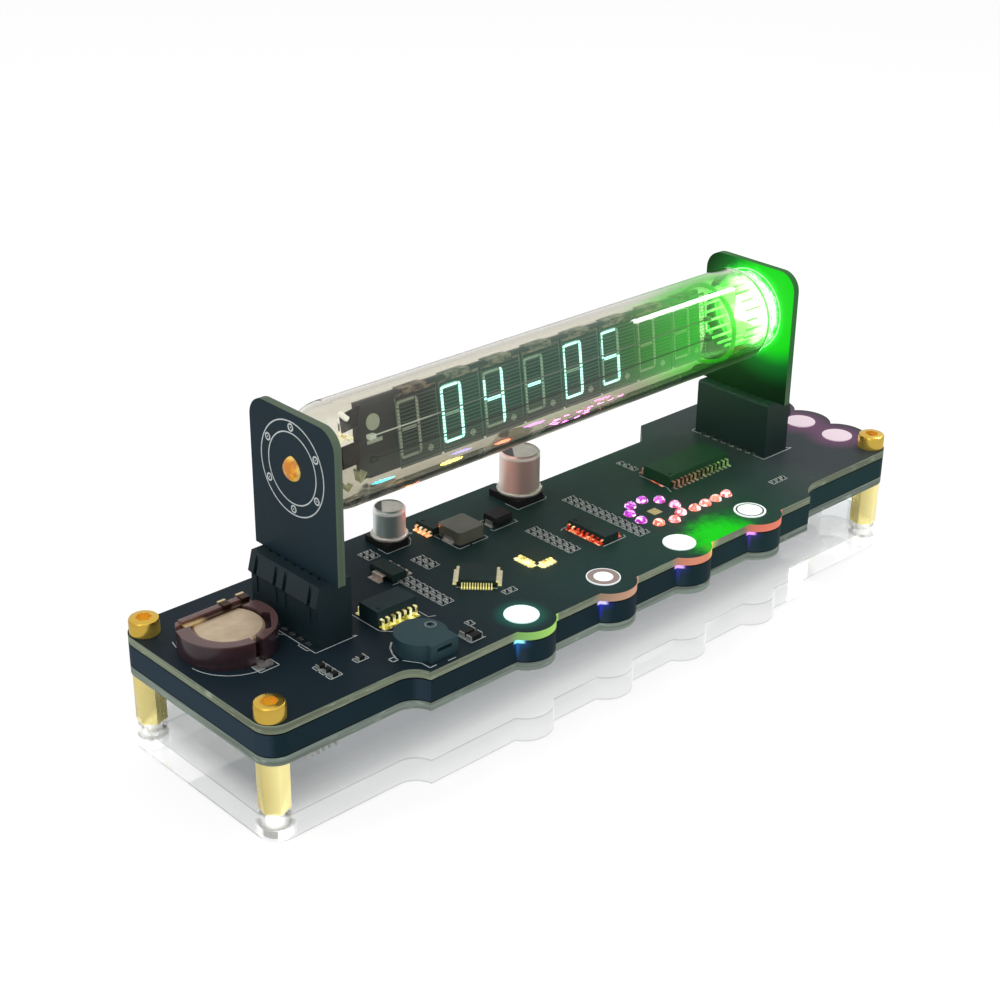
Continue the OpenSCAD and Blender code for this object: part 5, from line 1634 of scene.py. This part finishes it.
class CLOCK_OT_chips(bpy.types.Operator):
    """Finish the chips, their leads and the small parts"""
    bl_idname = "clock.chips"
    bl_label = "Chips"

    def sensor(self, dark):
        """The small sensor chip, square to the board, with close rows of leads on two sides, bright with
        painted light.
        """
        at, half = spot("sensor_chip") + Vector((0.55, 0.85)), Vector((1.95, 2.45))
        pitch, leg_width = 0.86, 0.56
        body = Drawing(BOARD_FACE)
        bevelled(body.mesh, body.block(at, half * 2, 0.0, 0.12, size_mm("sensor_chip").z), 0.12, 2)
        piece("sensor_body", body.mesh, dark, "base", ["sensor_chip"])
        legs = Drawing(BOARD_FACE)

        def leg(axis, along, start, end, wide, low, high):
            """A block that reaches from start to end, out from the chip's side."""
            centre, size = Vector(at), Vector((wide, wide))
            centre[axis] -= half[axis] + (start + end) / 2
            centre[1 - axis] += along
            size[axis] = end - start
            legs.block(centre, size, 0.0, low, high)

        for axis, count in ((0, 5), (1, 4)):
            for i in range(count):
                along = (i - (count - 1) / 2) * pitch
                leg(axis, along, -0.05, 0.55, leg_width, 0.45, 0.62)
                leg(axis, along, 0.4, 0.6, leg_width, 0.0, 0.62)
                leg(axis, along, 0.4, 1.7, leg_width, 0.0, 0.26)
            leg(axis, 0.0, 0.05, 1.45, half[1 - axis] * 2, -SINK, 0.14)
        # The legs' cream colour is painted light.
        cream = lit_solder("sensor_solder", (176, 156, 84), (250, 238, 164), (255, 252, 214))
        piece("sensor_legs", legs.mesh, cream, "base", ["sensor_leads"])

    def solder_bands(self):
        """Bands of painted light on the solder along one side of three chips, and a painted reflection as a
        streak on the driver's side.
        """
        # Sheets of painted light over the solder beside three chips.
        for node, side, tones in (("converter_leads", 0, ((226, 110, 50), (255, 190, 130), (255, 236, 200))),
                                  ("register_leads", 0, ((96, 10, 8), (190, 40, 24), (255, 206, 140))),
                                  ("clock_chip_leads", 1, ((90, 80, 20), (210, 200, 70), (255, 250, 170)))):
            low, high = lead_band(node, side)
            band = Drawing(BOARD_FACE, 0.16)
            band.block((low + high) / 2, high - low)
            piece(node + "_solder", band.mesh, lit_solder(node + "_solder", *tones), "base")
        # A painted reflection: a salmon streak on the board beside the driver.
        streak = Drawing(BOARD_FACE, 0.06)
        streak.bar((31.8, 1.2), (31.45, -2.2), 0.32)
        red = lit_solder("driver_streak", (190, 60, 30), (250, 130, 90), (255, 200, 160))
        piece("driver_streak", streak.mesh, red, "base")

    def execute(self, context):
        dark = chip_plastic("chip_plastic", (24, 50, 47))
        dress(dark, "regulator_body", "converter_chip", "controller_chip", "register_chip")
        dress(chip_plastic("clock_chip_plastic", (30, 54, 58)), "clock_chip")
        # The driver's body is tinted green by painted light from the lamp.
        dress(chip_plastic("driver_chip_plastic", (24, 76, 46)), "driver_chip")
        dress(chip_plastic("small_part_ceramic", (24, 26, 27)), "chip_bodies")
        for node, name, dull, bright, glow in (
                ("chip_ends", "small_part_tin", (140, 144, 142), (214, 218, 214), (110, 118, 112)),
                ("regulator_leads", "regulator_tin", (150, 138, 130), (206, 196, 188), (120, 106, 98))):
            dress(plated(name, dull, bright, 0.3, glow, 0.25), node)
        # Leads coloured by painted light from the parts beside them.
        for node, name, *tones in (
                ("converter_leads", "converter_gold", (214, 120, 60), (255, 206, 150), (255, 242, 214)),
                ("clock_chip_leads", "clock_chip_gold", (130, 116, 60), (230, 222, 150), (255, 253, 220)),
                ("register_leads", "register_copper", (110, 16, 10), (220, 64, 36), (255, 226, 170))):
            dress(lit_solder(name, *tones), node)
        dress(controller_lit_leads(), "controller_leads")
        dress(driver_tin(), "driver_leads")
        self.sensor(dark)
        self.solder_bands()
        return {"FINISHED"}


class CLOCK_OT_keys(bpy.types.Operator):
    """Finish the touch keys and the lights under them"""
    bl_idname = "clock.keys"
    bl_label = "Touch Keys"

    def execute(self, context):
        dress(key_white(), "touch_keys", "key_lights")
        return {"FINISHED"}


class CLOCK_OT_jewels(bpy.types.Operator):
    """Cut the jewel lights"""
    bl_idname = "clock.jewels"
    bl_label = "Jewel Lights"

    def cut_stones(self):
        """Eight-sided stones with a narrowed, pointed crown, each turned another way."""
        spread, belt, crown, table = 1.24, 0.5, 0.46, 0.34
        cut = Drawing(BOARD_FACE)
        height = (box("jewel_lights")[1].z - BOARD_TOP) / MM
        for number, group in enumerate(loose_solids("jewel_lights")):
            at = board_xy(centre_of(group))
            radius = max((board_xy(co) - at).length for co in group) * spread
            verts = cut.disc(at, radius, 8, 0.0, height * belt)
            turn = Matrix.Rotation(number * 0.7, 3, "Z")
            bmesh.ops.rotate(cut.mesh, verts=verts, cent=on_board(*at), matrix=turn)
            tops = [face for face in {f for vert in verts for f in vert.link_faces}
                    if all(vert.co.z > BOARD_TOP + height * 0.4 * MM for vert in face.verts)]
            bmesh.ops.inset_individual(cut.mesh, faces=tops, thickness=radius * table * MM,
                                       depth=height * crown * MM, use_even_offset=True)
            bmesh.ops.poke(cut.mesh, faces=tops, offset=0.0)
        piece("jewel_stones", cut.mesh, jewel_finish(), "base", ["jewel_lights"])

    def execute(self, context):
        self.cut_stones()
        row, ring = stones()
        # Discs of the jewels' glowing colour round each stone: painted glow on the board.
        pads = Drawing(BOARD_FACE, 0.04)
        for at in row + ring:
            pads.disc(at, 1.25, 16)
        piece("jewel_glow_pads", pads.mesh, jewel_finish(), "base")
        plain = Drawing(BOARD_FACE, 0.05)
        plain.block(centre_of(ring), (2.3, 2.3))
        gold = plated("pad_gold", (150, 132, 84), (236, 216, 164), 0.35, (150, 134, 92), 0.5)
        piece("plain_pad", plain.mesh, gold, "base")
        return {"FINISHED"}


STEPS = (CLOCK_OT_stage, CLOCK_OT_base, CLOCK_OT_boards, CLOCK_OT_board_print, CLOCK_OT_sockets,
         CLOCK_OT_uprights, CLOCK_OT_tube, CLOCK_OT_coin_cell, CLOCK_OT_power_parts, CLOCK_OT_chips,
         CLOCK_OT_keys, CLOCK_OT_jewels)


class CLOCK_PT_panel(bpy.types.Panel):
    """Sizes and steps of the desk clock"""
    bl_idname = "CLOCK_PT_panel"
    bl_label = "Desk Clock"
    bl_space_type = "VIEW_3D"
    bl_region_type = "UI"
    bl_category = "Clock"

    def draw(self, context):
        layout = self.layout
        for group in (context.scene.clock_prints, context.scene.clock_lights):
            column = layout.column()
            for name in group.__annotations__:
                column.prop(group, name)
        column = layout.column(align=True)
        for step in STEPS:
            column.operator(step.bl_idname)


CLASSES = (ClockPrints, ClockLights) + STEPS + (CLOCK_PT_panel,)


def register():
    for cls in CLASSES:
        bpy.utils.register_class(cls)
    bpy.types.Scene.clock_prints = bpy.props.PointerProperty(type=ClockPrints)
    bpy.types.Scene.clock_lights = bpy.props.PointerProperty(type=ClockLights)


def unregister():
    del bpy.types.Scene.clock_lights
    del bpy.types.Scene.clock_prints
    for cls in reversed(CLASSES):
        bpy.utils.unregister_class(cls)


def main():
    register()
    for step in STEPS:
        group, name = step.bl_idname.split(".")
        getattr(getattr(bpy.ops, group), name)()


if __name__ == "__main__":
    main()
